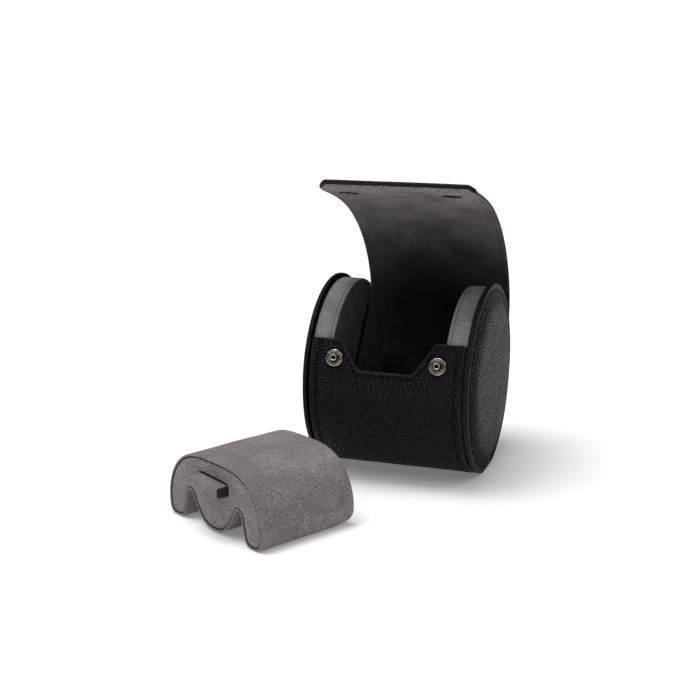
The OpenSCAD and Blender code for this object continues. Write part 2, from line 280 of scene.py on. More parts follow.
def metal(name, base=(0.72, 0.68, 0.62), rough=0.22, dirt=0.5):
    m, nt, b = new_mat(name)
    tc = nt.nodes.new("ShaderNodeTexCoord")
    n1 = nd(nt, "ShaderNodeTexNoise")
    n1.inputs["Scale"].default_value = 900
    n1.inputs["Detail"].default_value = 4
    nt.links.new(tc.outputs["Object"], n1.inputs["Vector"])
    n2 = nd(nt, "ShaderNodeTexNoise")
    n2.inputs["Scale"].default_value = 260
    nt.links.new(tc.outputs["Object"], n2.inputs["Vector"])
    c = mixc(nt, maprange(nt, n2.outputs[0], 0.4, 0.7, 0.0, dirt), base, tuple(x * 0.62 for x in base))
    nt.links.new(c, b.inputs["Base Color"])
    nt.links.new(maprange(nt, n1.outputs[0], 0.3, 0.7, rough - 0.06, rough + 0.14), b.inputs["Roughness"])
    bump = nt.nodes.new("ShaderNodeBump")
    bump.inputs["Strength"].default_value = 0.25
    bump.inputs["Distance"].default_value = 0.00003
    nt.links.new(n1.outputs[0], bump.inputs["Height"])
    nt.links.new(bump.outputs[0], b.inputs["Normal"])
    b.inputs["Metallic"].default_value = 1.0
    return m


def thread(name, base=(0.012, 0.012, 0.013), hi=(0.05, 0.05, 0.055), rough=0.55):
    m, nt, b = new_mat(name)
    tc = nt.nodes.new("ShaderNodeTexCoord")
    w = nd(nt, "ShaderNodeTexWave", wave_type="BANDS", bands_direction="DIAGONAL")
    w.inputs["Scale"].default_value = 900
    w.inputs["Distortion"].default_value = 1.5
    nt.links.new(tc.outputs["Object"], w.inputs["Vector"])
    nt.links.new(mixc(nt, w.outputs[1], base, hi), b.inputs["Base Color"])
    bump = nt.nodes.new("ShaderNodeBump")
    bump.inputs["Strength"].default_value = 0.6
    bump.inputs["Distance"].default_value = 0.00005
    nt.links.new(w.outputs[1], bump.inputs["Height"])
    nt.links.new(bump.outputs[0], b.inputs["Normal"])
    b.inputs["Roughness"].default_value = rough
    b.inputs["Specular IOR Level"].default_value = 0.08
    return m


def plain_soft(name, base, rough=0.9, spec=0.03):
    m, nt, b = new_mat(name)
    tc = nt.nodes.new("ShaderNodeTexCoord")
    n1 = nd(nt, "ShaderNodeTexNoise")
    n1.inputs["Scale"].default_value = 1400
    n1.inputs["Detail"].default_value = 3
    nt.links.new(tc.outputs["Object"], n1.inputs["Vector"])
    c = mixc(nt, maprange(nt, n1.outputs[0], 0.35, 0.65, 0.0, 1.0), tuple(x * 0.75 for x in base), base)
    nt.links.new(c, b.inputs["Base Color"])
    bump = nt.nodes.new("ShaderNodeBump")
    bump.inputs["Strength"].default_value = 0.4
    bump.inputs["Distance"].default_value = 0.00008
    nt.links.new(n1.outputs[0], bump.inputs["Height"])
    nt.links.new(bump.outputs[0], b.inputs["Normal"])
    b.inputs["Roughness"].default_value = rough
    b.inputs["Specular IOR Level"].default_value = spec
    return m


M_LEATHER = leather("pebbled_leather")
M_RIM = leather("rim_leather", base=(0.0095, 0.0100, 0.0098), cell=0.55, depth=0.00035, rough=0.40, stretch=1.2, spec=0.12, crease_colour_and_shade=(0.002, 0.002, 0.0022), tint=(0.96, 0.98, 0.94))
# painted shadow: near-black material for the rim's inner shoulder
M_GAP_PAINTED_SHADOW = plain_soft("painted_gap_shadow", (0.002, 0.002, 0.002), 1.0)
PANEL = dict(cell=0.36, depth=0.00145, rough=0.36, stretch=1.7, rot=-8.0, line_w=0.24, crease_colour_and_shade=(0.0030, 0.0027, 0.0032), painted_border_shade=(36.0, 41.5, 0.16), tint=(0.92, 0.88, 0.97), dome=(-0.08, 0.40), keep_lo=0.5)
# painted reflection: the panel is the wrap's black leather, given a much lighter base colour in place of its grazing
# reflections
M_PANEL_PAINTED_REFLECTION = leather("panel_leather", base=(0.0470, 0.0422, 0.0476), spec=0.15, **PANEL)
# painted shade: slope and border copies of the panel leather, less glossy and darker towards the rim
M_PANEL_SLOPE_SHADE = leather("panel_leather_slope_painted_shade", base=(0.0470, 0.0422, 0.0476), spec=0.11, **PANEL)
M_PANEL_BORDER_SHADE = leather("panel_leather_border_painted_shade", base=(0.0350, 0.0318, 0.0352), spec=0.06, **PANEL)
M_EDGE2 = leather("lid_edge_leather", base=(0.0045, 0.0044, 0.0055), cell=1.4, depth=0.00010, rough=0.42, stretch=1.0, spec=0.2, crease_colour_and_shade=(0.003, 0.003, 0.0035))
# painted highlight: the welt leather is lighter and glossier than the other edges so it shows a light line
M_WELT_HIGHLIGHT = leather("welt_leather", base=(0.020, 0.0195, 0.0205), cell=1.4, depth=0.00010, rough=0.33, stretch=1.0, spec=0.6, crease_colour_and_shade=(0.010, 0.010, 0.010), tint=(0.97, 0.97, 0.96))
M_EDGE = leather("edge_leather", base=(0.0075, 0.0072, 0.0085), cell=1.4, depth=0.00010, rough=0.33, stretch=1.0, spec=0.22, crease_colour_and_shade=(0.004, 0.004, 0.005), tint=(0.93, 0.93, 1.0))
M_SUEDE_C = suede("cushion_suede", dark=(0.180, 0.161, 0.170), light=(0.306, 0.278, 0.287), speck=1.15)
M_SUEDE_E = suede("tab_end_suede", dark=(0.030, 0.026, 0.028), light=(0.05, 0.044, 0.047), dots=0.4)
M_SUEDE_D = suede("disc_suede", dark=(0.172, 0.157, 0.160), light=(0.278, 0.258, 0.258), blotch=0.08, patch=0.45, dots=0.8)
# painted shade: the disc faces and slot lip take a darker copy of the disc suede
M_SUEDE_FACE_SHADE = suede("disc_face_suede_painted_shade", dark=(0.041, 0.035, 0.039), light=(0.082, 0.073, 0.078), blotch=0.07, patch=0.7, dots=0.6)
# painted shade: the lining is a much darker copy of the suede, with painted light brightening it towards the lid's free
# edge
M_SUEDE_LINING_PAINTED = suede("lid_suede", dark=(0.042, 0.035, 0.042), light=(0.094, 0.081, 0.092), blotch=0.05, patch=0.8, speck=1.25, dots=0.8, along=(215.0, 362.0, 0.29, 3.35))
M_SUEDE_S = suede("edge_strip_suede", dark=(0.175, 0.145, 0.145), light=(0.270, 0.245, 0.252), blotch=0.7, patch=0.7, speck=1.3, dots=1.25)
# painted shade: near-black suede for the slot's walls
M_SUEDE_SLOT_SHADE = suede("slot_suede_painted_shade", dark=(0.012, 0.010, 0.011), light=(0.022, 0.019, 0.020))
M_METAL = metal("snap_nickel", base=(0.52, 0.45, 0.385), rough=0.16)
# painted shade: near-black metal for snap grooves and bores
M_METAL_PAINTED_SHADE = metal("snap_dark_painted_shade", base=(0.035, 0.030, 0.026), rough=0.35)
M_CAPMETAL = metal("cap_nickel", base=(0.07, 0.07, 0.075), rough=0.3, dirt=0.3)
M_THREAD = thread("thread_black", base=(0.003, 0.003, 0.0035), hi=(0.009, 0.009, 0.010), rough=0.75)
M_THREAD2 = thread("thread_rim", base=(0.02, 0.02, 0.022), hi=(0.06, 0.06, 0.065), rough=0.5)
M_SOCKET = metal("socket_bronze", base=(0.26, 0.22, 0.185), rough=0.20)
# near-black marks: needle holes, and painted shade in stitch grooves, snap recesses and the post's centre hole
M_HOLE_PAINTED_SHADE = plain_soft("needle_hole_painted_shade", (0.0016, 0.0016, 0.0018), 1.0)
# dark seam thread; also painted shade in disc stitch holes and round the cushion tabs
M_SEAM_AND_PAINTED_SHADE = thread("seam_dark_and_painted_shade", base=(0.006, 0.005, 0.0055), hi=(0.016, 0.014, 0.015), rough=0.9)
M_BOARD = plain_soft("black_board", (0.008, 0.008, 0.009))
M_FOAM = plain_soft("foam", (0.42, 0.42, 0.40))

# ------------------------------------------------------------------ mesh tools


def make(name, V, F, mats, fm=None, uv=None, body=None, slot=None, replaces=(), smooth=True, ride=True):
    """V in millimetres in the row frame. uv per vertex in millimetres."""
    V = np.asarray(V, float)
    me = bpy.data.meshes.new(name)
    me.from_pydata((V * MM).tolist(), [], [tuple(int(i) for i in f) for f in F])
    for m in mats:
        me.materials.append(m)
    if fm is not None:
        me.polygons.foreach_set("material_index", np.asarray(fm, np.int32))
    me.polygons.foreach_set("use_smooth", np.full(len(me.polygons), smooth))
    if uv is not None:
        lay = me.uv_layers.new(name="UVMap")
        li = np.zeros(len(me.loops), np.int32)
        me.loops.foreach_get("vertex_index", li)
        lay.data.foreach_set("uv", (np.asarray(uv, float)[li] / 100.0).astype(np.float32).ravel())
    me.update()
    o = bpy.data.objects.new(name, me)
    bpy.context.scene.collection.objects.link(o)
    if body and ride:
        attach(o, body)
    if replaces:
        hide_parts(*replaces)
    return o


def grid_faces(nr, nc, off=0, flip=False, close_c=False, close_r=False):
    f = []
    for i in range(nr - (0 if close_r else 1)):
        i2 = (i + 1) % nr
        for j in range(nc - (0 if close_c else 1)):
            j2 = (j + 1) % nc
            q = (off + i * nc + j, off + i * nc + j2, off + i2 * nc + j2, off + i2 * nc + j)
            f.append(q[::-1] if flip else q)
    return f


def edge_mask(bs, BB, lim=0.95):
    """1 for grid faces that lie on the rounded edge"""
    q = np.minimum(bs, BB)
    f = np.minimum(np.minimum(q[:-1, :-1], q[1:, :-1]), np.minimum(q[:-1, 1:], q[1:, 1:]))
    return (f < lim).astype(int).ravel().tolist()


class Bag:
    """Collects meshes into one."""

    def __init__(self):
        self.V, self.F, self.M, self.U = [], [], [], []
        self.n = 0

    def add(self, V, F, m=0, uv=None):
        V = np.asarray(V, float).reshape(-1, 3)
        self.V.append(V)
        self.F += [tuple(int(i) + self.n for i in f) for f in F]
        self.M += [m] * len(F) if np.isscalar(m) else list(m)
        self.U.append(np.zeros((len(V), 2)) if uv is None else np.asarray(uv, float).reshape(-1, 2))
        self.n += len(V)

    def make(self, name, mats, **kw):
        return make(name, np.vstack(self.V), self.F, mats, fm=self.M, uv=np.vstack(self.U), **kw)


def smoothstep(a, b, x):
    t = np.clip((x - a) / (b - a), 0, 1)
    return t * t * (3 - 2 * t)


# ------------------------------------------------------------------ the long sheet: wrap and lid
# s runs along the outer skin from the tab tops, down the front, under, up the back, and along the lid.

PHI0, PHI1 = 147.6, 330.0


def wrap_point(phi):
    a = phi * DEG
    r = R
    if math.sin(a) < 0:
        r = min(R, (AX) / max(1e-6, -math.sin(a)))
    return r * math.cos(a), r * math.sin(a)


phis = np.arange(PHI0, PHI1 + 1e-6, 0.1)
wp = np.array([wrap_point(p) for p in phis])
LID_S = np.linspace(0, 188.0, 15)
LID_A = [60.0, 61.91, 68.62, 79.03, 92.21, 106.46, 119.33, 129.05, 137.25, 145.42, 152.82, 158.5, 162.46, 165.05, 166.23]


def natural_spline(x, y):
    n = len(x)
    h = np.diff(x)
    A = np.zeros((n, n))
    b = np.zeros(n)
    A[0, 0] = A[-1, -1] = 1
    for i in range(1, n - 1):
        A[i, i - 1], A[i, i], A[i, i + 1] = h[i - 1], 2 * (h[i - 1] + h[i]), h[i]
        b[i] = 6 * ((y[i + 1] - y[i]) / h[i] - (y[i] - y[i - 1]) / h[i - 1])
    M = np.linalg.solve(A, b)

    def f(q):
        i = np.clip(np.searchsorted(x, q) - 1, 0, n - 2)
        a, c = (x[i + 1] - q) / h[i], (q - x[i]) / h[i]
        return a * y[i] + c * y[i + 1] + ((a ** 3 - a) * M[i] + (c ** 3 - c) * M[i + 1]) * h[i] ** 2 / 6
    return f


ls = np.linspace(0, 192.0, 1921)
TW_S = [0, 60, 85, 110, 135, 160, 182.3, 188]
TW_A = [0, 0.5, -0.2, 0.1, -3.8, -2.9, -2.7, -48]
tw = np.interp(ls, TW_S, TW_A)
tw = np.convolve(np.pad(tw, 20, mode="edge"), np.ones(41) / 41, "valid")
la = (natural_spline(LID_S, np.array(LID_A))(np.minimum(ls, 188.0)) + tw) * DEG
dl = ls[1] - ls[0]
lp = np.zeros((len(ls), 2))
lp[0] = wp[-1]
lp[1:, 0] = wp[-1, 0] + np.cumsum((np.cos(la[1:]) + np.cos(la[:-1])) / 2 * dl)
lp[1:, 1] = wp[-1, 1] + np.cumsum((np.sin(la[1:]) + np.sin(la[:-1])) / 2 * dl)
PP = np.vstack([wp, lp[1:]])
PS = np.r_[0, np.cumsum(np.linalg.norm(np.diff(PP, axis=0), axis=1))]
S_LID0 = PS[len(wp) - 1]
SG = np.arange(0, PS[-1], 0.2)
PY = np.interp(SG, PS, PP[:, 0])
PZ = np.interp(SG, PS, PP[:, 1])
ty, tz = np.gradient(PY), np.gradient(PZ)
tn = np.hypot(ty, tz)
NY, NZ = tz / tn, -ty / tn
ker = np.ones(9) / 9
NYs = np.convolve(np.pad(NY, 4, mode="edge"), ker, "valid")
NZs = np.convolve(np.pad(NZ, 4, mode="edge"), ker, "valid")
S_END = S_LID0 + 188.0


def sheet_pt(x, s, dep):
    """Point at (x, s), dep millimetres below the outer skin."""
    x, s, dep = np.broadcast_arrays(np.asarray(x, float), np.asarray(s, float), np.asarray(dep, float))
    s2 = np.clip(s, 0, SG[-1])
    y = np.interp(s2, SG, PY)
    z = np.interp(s2, SG, PZ)
    ny = np.interp(s2, SG, NYs)
    nz = np.interp(s2, SG, NZs)
    under = np.clip(-s, 0, None)
    # the flap bows, leans and drifts a little towards its free edge
    t = smoothstep(S_END - 110, S_END, s)
    u = x / W
    bow = t * (-2.9 + 0.8 * u + 0.36 * (1 - u ** 2)) + 0.28 * smoothstep(S_END - 90, S_END - 50, s) * smoothstep(-8, -36, x)
    d = dep - bow
    x = x + smoothstep(S_LID0, S_LID0 + 60, s) * 0.26 * u + t * 1.68 * np.abs(u)
    return np.stack([x, y - d * ny, AX + z - d * nz], -1) + np.stack([np.zeros_like(s), under * 0.536, under * 0.844], -1)


RB = 0.98  # edge rounding radius


def nose(b1, b2=None):
    """depth below the skin at distance b1 (and b2) from the edges; also how far to pull in at a corner"""
    u = np.clip(RB - b1, 0, None)
    if b2 is not None:
        u = np.hypot(u, np.clip(RB - b2, 0, None))
    uc = np.clip(u, 0, RB)
    return RB - np.sqrt(RB ** 2 - uc ** 2)


RBI = 0.5


def nose_in(b1, b2=None):
    u = np.clip(RBI - b1, 0, None)
    if b2 is not None:
        u = np.hypot(u, np.clip(RBI - b2, 0, None))
    uc = np.clip(u, 0, RBI)
    return RBI - np.sqrt(RBI ** 2 - uc ** 2)


INS_B = np.array([0.0, 0.0, 0.02, 0.07, 0.15, 0.25, 0.37, 0.5, 0.9, 1.6, 2.4])
INS_FIRST = np.array([1] + [0] * 10)


def inner_dep(b1, b2, first):
    """depth of the inner skin; the first row closes onto the outer rounding"""
    d = T - nose_in(b1, b2)
    return np.where(first > 0, np.minimum(nose(b1, b2), RB), d)


B_ROWS = np.array([0.0, 0.03, 0.12, 0.27, 0.48, 0.72, 1.0, 1.5])
ST_IN = 2.6   # stitch line's distance from the front edge and free edge
XS_ST = 36.2  # side stitch line
XS_LIN = 37.9  # stitch line on the lining


def x_columns():
    half = [W - b for b in B_ROWS]
    half += [W - 2.2, W - 2.9]
    for q in (0.8, 0.5, 0.25, 0, -0.25, -0.5, -0.8):
        half.append(XS_ST + q)
    q = XS_ST - 1.5
    inner = np.linspace(0, q, 48)
    half += list(inner[1:])
    half = sorted(set(round(v, 4) for v in half))
    return np.array([-v for v in half[::-1]] + [0.0] + half)


XC = x_columns()
NOTCH_S = (165.5 - 147.6) * DEG * R


def front_edge(x):
    """s of the wrap's front edge at x, with softened corners"""
    ax = np.abs(np.asarray(x, float))

    def raw(a):
        return np.interp(a, [0, 13.9, 24.5, 60], [NOTCH_S, NOTCH_S, 0, 0])
    q = np.linspace(-1.3, 1.3, 13)
    w = np.cos(q / 1.3 * math.pi / 2)
    # the right tab stands a little further round than the left one
    return sum(wi * raw(np.abs(ax + qi)) for wi, qi in zip(w, q)) / w.sum() - 1.6 * smoothstep(18, 27, np.asarray(x, float))


def slope(f, x):
    return (f(x + 0.05) - f(x - 0.05)) / 0.1


FE = front_edge(XC)
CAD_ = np.sqrt(1 + slope(front_edge, XC) ** 2)


def free_edge(x):
    """s of the lid's free edge at x: cut corners"""
    ax = np.abs(np.asarray(x, float))

    def raw(a):
        return S_END - np.interp(a, [0, W - 3.3, W, W + 3], [0, 0, 2.5, 4.8])
    q = np.linspace(-0.7, 0.7, 7)
    return sum(raw(np.abs(ax + qi)) for qi in q) / len(q)


LE = free_edge(XC)
LK = np.sqrt(1 + slope(free_edge, XC) ** 2)

S_WRAP_END = S_LID0 - 7.0
SOCKET_S = 332.6  # where the sockets sit along the sheet
S_MID = [S_LID0 + v for v in (27.5, 62.0, 97.1, 132.4, 167.8)]


def rel(x, s):
    """surface relief: stitch grooves, the roll beside them, slow waviness. Returns extra depth."""
    ax = np.abs(x)
    g = 0.22 * np.exp(-((ax - XS_ST) / 0.42) ** 2)
    g -= 0.14 * np.exp(-((ax - XS_ST - 1.9) / 0.9) ** 2)
    g -= 0.05 * np.exp(-((ax - XS_ST + 1.3) / 0.8) ** 2)
    wav = 0.05 * np.sin(x * 0.17 + s * 0.05) * np.sin(s * 0.083 + 1.3) + 0.03 * np.sin(x * 0.31 - s * 0.11 + 2.0)
    return g + wav


def front_line(b):
    return 0.20 * np.exp(-((b - ST_IN) / 0.42) ** 2) - 0.10 * np.exp(-((b - 1.1) / 0.7) ** 2) * (b > 0.2)


# --- wrap leather (outer skin, rounded edges, turned-in strip)
def build_wrap():
    b_side = W - np.abs(XC)
    rows_b = np.r_[B_ROWS, [2.0, 2.3, 2.6, 2.9, 3.2, 4.0, 5.0]]
    S1 = 60.0
    etas = (rows_b[-1] + np.linspace(0, 1, 56)[1:] * (S1 - rows_b[-1]))
    straight = np.arange(S1 + 1.0, S_WRAP_END, 1.0)
    straight = np.r_[straight[:-1], S_WRAP_END]
    SS, BB = [], []
    for b in rows_b:
        SS.append(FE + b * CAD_)
        BB.append(np.full_like(FE, b))
    base = SS[-1]
    for e in etas:
        t = (e - rows_b[-1]) / (S1 - rows_b[-1])
        SS.append(base + (S1 - base) * t)
        BB.append(np.full_like(FE, e))
    for s in straight:
        SS.append(np.full_like(FE, s))
        BB.append(np.full_like(FE, 99.0))
    SS, BB = np.array(SS), np.array(BB)
    XX = np.broadcast_to(XC, SS.shape)
    bs = np.broadcast_to(b_side, SS.shape)
    dep = nose(bs, BB) + rel(XX, SS) * smoothstep(0.3, 1.6, np.minimum(bs, BB)) + front_line(BB) * smoothstep(0.5, 2.0, bs)
    # round the outer corner of each tab in plan
    over = np.clip(np.hypot(np.clip(RB - bs, 0, None), np.clip(RB - BB, 0, None)) - RB, 0, None)
    Xp = XX - np.sign(XX) * over * 0.7
    Sp = SS + over * 0.7
    V = sheet_pt(Xp, Sp, dep)
    nr, nc = SS.shape
    bag = Bag()
    uv = np.stack([XX, SS], -1)
    bag.add(V, grid_faces(nr, nc), edge_mask(bs, BB), uv)
    # inner side of the turned edge
    ins = INS_B
    # front strip
    SSi = np.array([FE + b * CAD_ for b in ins])
    BBi = np.broadcast_to(ins[:, None], SSi.shape)
    Fi = np.broadcast_to(INS_FIRST[:, None], SSi.shape)
    Xi = np.broadcast_to(XC, SSi.shape)
    bsi = np.broadcast_to(b_side, SSi.shape)
    ov = np.clip(np.hypot(np.clip(RB - bsi, 0, None), np.clip(RB - BBi, 0, None)) - RB, 0, None)
    Vi = sheet_pt(Xi - np.sign(Xi) * ov * 0.7, SSi + ov * 0.7, inner_dep(bsi, BBi, Fi))
    bag.add(Vi, grid_faces(len(ins), nc, flip=True), 1, np.stack([Xi, SSi + 30], -1))
    # side strips
    for sg in (-1, 1):
        xs = np.array([sg * (W - b) for b in ins])
        ss = np.r_[FE[0] + ins[1:-1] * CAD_[0], np.arange(FE[0] + 2.6, S_WRAP_END, 1.5)]
        ss = np.r_[ss[:-1], S_WRAP_END]
        Xs, Ss = np.meshgrid(xs, ss, indexing="ij")
        bs2, bf2 = np.meshgrid(ins, ss - FE[0], indexing="ij")
        ov2 = np.clip(np.hypot(np.clip(RB - bs2, 0, None), np.clip(RB - bf2, 0, None)) - RB, 0, None)
        Vs = sheet_pt(Xs - sg * ov2 * 0.7, Ss + ov2 * 0.7, inner_dep(bs2, bf2, np.broadcast_to(INS_FIRST[:, None], bs2.shape)))
        bag.add(Vs, grid_faces(len(xs), len(ss), flip=(sg < 0)), 1, np.stack([Xs, Ss + 30], -1))
    bag.make("wrap_leather_skin", [M_LEATHER, M_EDGE], body="drum", slot="pebbled_leather", replaces=("wrap_leather", "wrap_board"))
    # suede lining
    lin_x = np.r_[-(W - 0.6), -(W - 0.75), -(W - 1.1), np.linspace(-(W - 1.8), W - 1.8, 60), W - 1.1, W - 0.75, W - 0.6]
    fe = front_edge(lin_x)
    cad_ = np.sqrt(1 + slope(front_edge, lin_x) ** 2)
    bl = np.r_[0.9, 1.05, 1.35, 2.0, 3.0]
    SSl = [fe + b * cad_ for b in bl]
    base = SSl[-1]
    for t in np.linspace(0, 1, 46)[1:]:
        SSl.append(base + (60 - base) * t)
    for s in np.r_[np.arange(61.5, S_WRAP_END - 0.5, 1.5), S_WRAP_END]:
        SSl.append(np.full_like(fe, s))
    SSl = np.array(SSl)
    Xl = np.broadcast_to(lin_x, SSl.shape)
    bx = W - 0.6 - np.abs(Xl)
    bf = np.minimum((SSl - fe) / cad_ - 0.9, 50)
    lift = 0.16 * smoothstep(0, 0.35, np.minimum(bx, bf))
    Vl = sheet_pt(Xl, SSl, T - 0.02 + lift)
    lo = make("wrap_suede_lining", Vl.reshape(-1, 3), grid_faces(*SSl.shape, flip=True), [M_SUEDE_LINING_PAINTED], uv=np.stack([Xl, SSl], -1).reshape(-1, 2),
              body="drum", slot="lining_suede", replaces=("wrap_lining",))


# --- stitches: small rounded dashes that sink at both ends

def stitch_mesh(bag, path_fn, length, pitch=3.15, ln=1.9, rad=0.2, sink=0.36, m=0, hole=0.62, mh=1, lift=0.12):
    """path_fn(u) -> (point, along, normal) arrays in mm for distances u"""
    n = max(1, int(length / pitch))
    pit = length / n
    k, ring = 9, 6
    for i in range(n):
        c = (i + 0.5) * pit
        u = c + np.linspace(-0.5, 0.5, k) * ln
        p, a, nn = path_fn(u)
        h = rad * 0.35 - sink * np.abs(np.linspace(-1, 1, k)) ** 3.0
        r = rad * np.sqrt(np.clip(1 - np.linspace(-0.96, 0.96, k) ** 6, 0.02, 1))
        b = np.cross(nn, a)
        tilt = (rng.random() - 0.5) * 0.12
        ang = np.linspace(0, 2 * math.pi, ring, endpoint=False)
        V = (p + nn * h[:, None] + b * (np.linspace(-1, 1, k) * tilt)[:, None])[:, None, :] \
            + (np.cos(ang)[None, :, None] * b[:, None, :] + np.sin(ang)[None, :, None] * nn[:, None, :]) * r[:, None, None]
        F = grid_faces(k, ring, close_c=True)
        F.append(tuple(range(ring))[::-1])
        F.append(tuple((k - 1) * ring + j for j in range(ring)))
        bag.add(V, F, m, np.zeros((k * ring, 2)))
        if hole:
            # a low near-black oval round each stitch: the needle hole's own dark and painted shade of the pulled-in
            # groove
            u = np.array([c])
            p, a, nn = path_fn(u)
            b = np.cross(nn, a)
            hl = ln * 0.5 + 0.12
            ang = np.linspace(0, 2 * math.pi, 12, endpoint=False)
            rim = p + a * (np.cos(ang) * hl)[:, None] + b * (np.sin(ang) * hole * 0.72)[:, None] - nn * 0.04
            V = np.vstack([rim, p + nn * lift])
            bag.add(V, [(j, (j + 1) % 12, 12) for j in range(12)], mh, np.zeros((13, 2)))


def sheet_path(poly, dep=0.0, inner=False):
    """path along a polyline of (x, s) on the sheet"""
    poly = np.asarray(poly, float)
    L = np.r_[0, np.cumsum(np.linalg.norm(np.diff(poly, axis=0), axis=1))]

    def q(u, off=0.0):
        return sheet_pt(np.interp(u, L, poly[:, 0]), np.interp(u, L, poly[:, 1]), off)

    def fn(u):
        u = np.clip(u, 0.05, L[-1] - 0.05)
        p = q(u, dep)
        a = q(u + 0.05, dep) - q(u - 0.05, dep)
        a /= np.linalg.norm(a, axis=1)[:, None]
        up = q(u, dep - 0.5) - p
        if inner:
            up = -up
        up /= np.linalg.norm(up, axis=1)[:, None]
        return p, a, up
    return fn, L[-1]


def offset_edge(f, x0, x1, d, sgn):
    xs = np.linspace(x0, x1, 160)
    s = f(xs)
    sl = slope(f, xs)
    nn = np.stack([-sl, np.ones_like(sl)], -1) / np.sqrt(1 + sl ** 2)[:, None]
    pts = np.stack([xs, s], -1) + sgn * d * nn
    keep = [0]
    for i in range(1, len(pts)):
        if sgn * 0 + (pts[i, 0] - pts[keep[-1], 0]) * np.sign(x1 - x0) > 0.02:
            keep.append(i)
    return pts[keep]


def build_wrap_stitches():
    bag = Bag()
    line = offset_edge(front_edge, -XS_ST, XS_ST, ST_IN, 1)
    line = line[np.abs(line[:, 0]) <= XS_ST]
    fn, L = sheet_path(line, 0.05)
    stitch_mesh(bag, fn, L)
    for sg in (-1, 1):
        fn, L = sheet_path([(sg * XS_ST, ST_IN + 0.3), (sg * XS_ST, S_WRAP_END - 0.4)][::1], 0.14)
        pl = [(sg * XS_ST, s) for s in np.arange(ST_IN + 0.6, S_WRAP_END - 0.2, 1.0)]
        fn, L = sheet_path(pl, 0.05)
        stitch_mesh(bag, fn, L)
    bag.make("wrap_stitches", [M_THREAD, M_HOLE_PAINTED_SHADE], body="drum", slot="pebbled_leather")


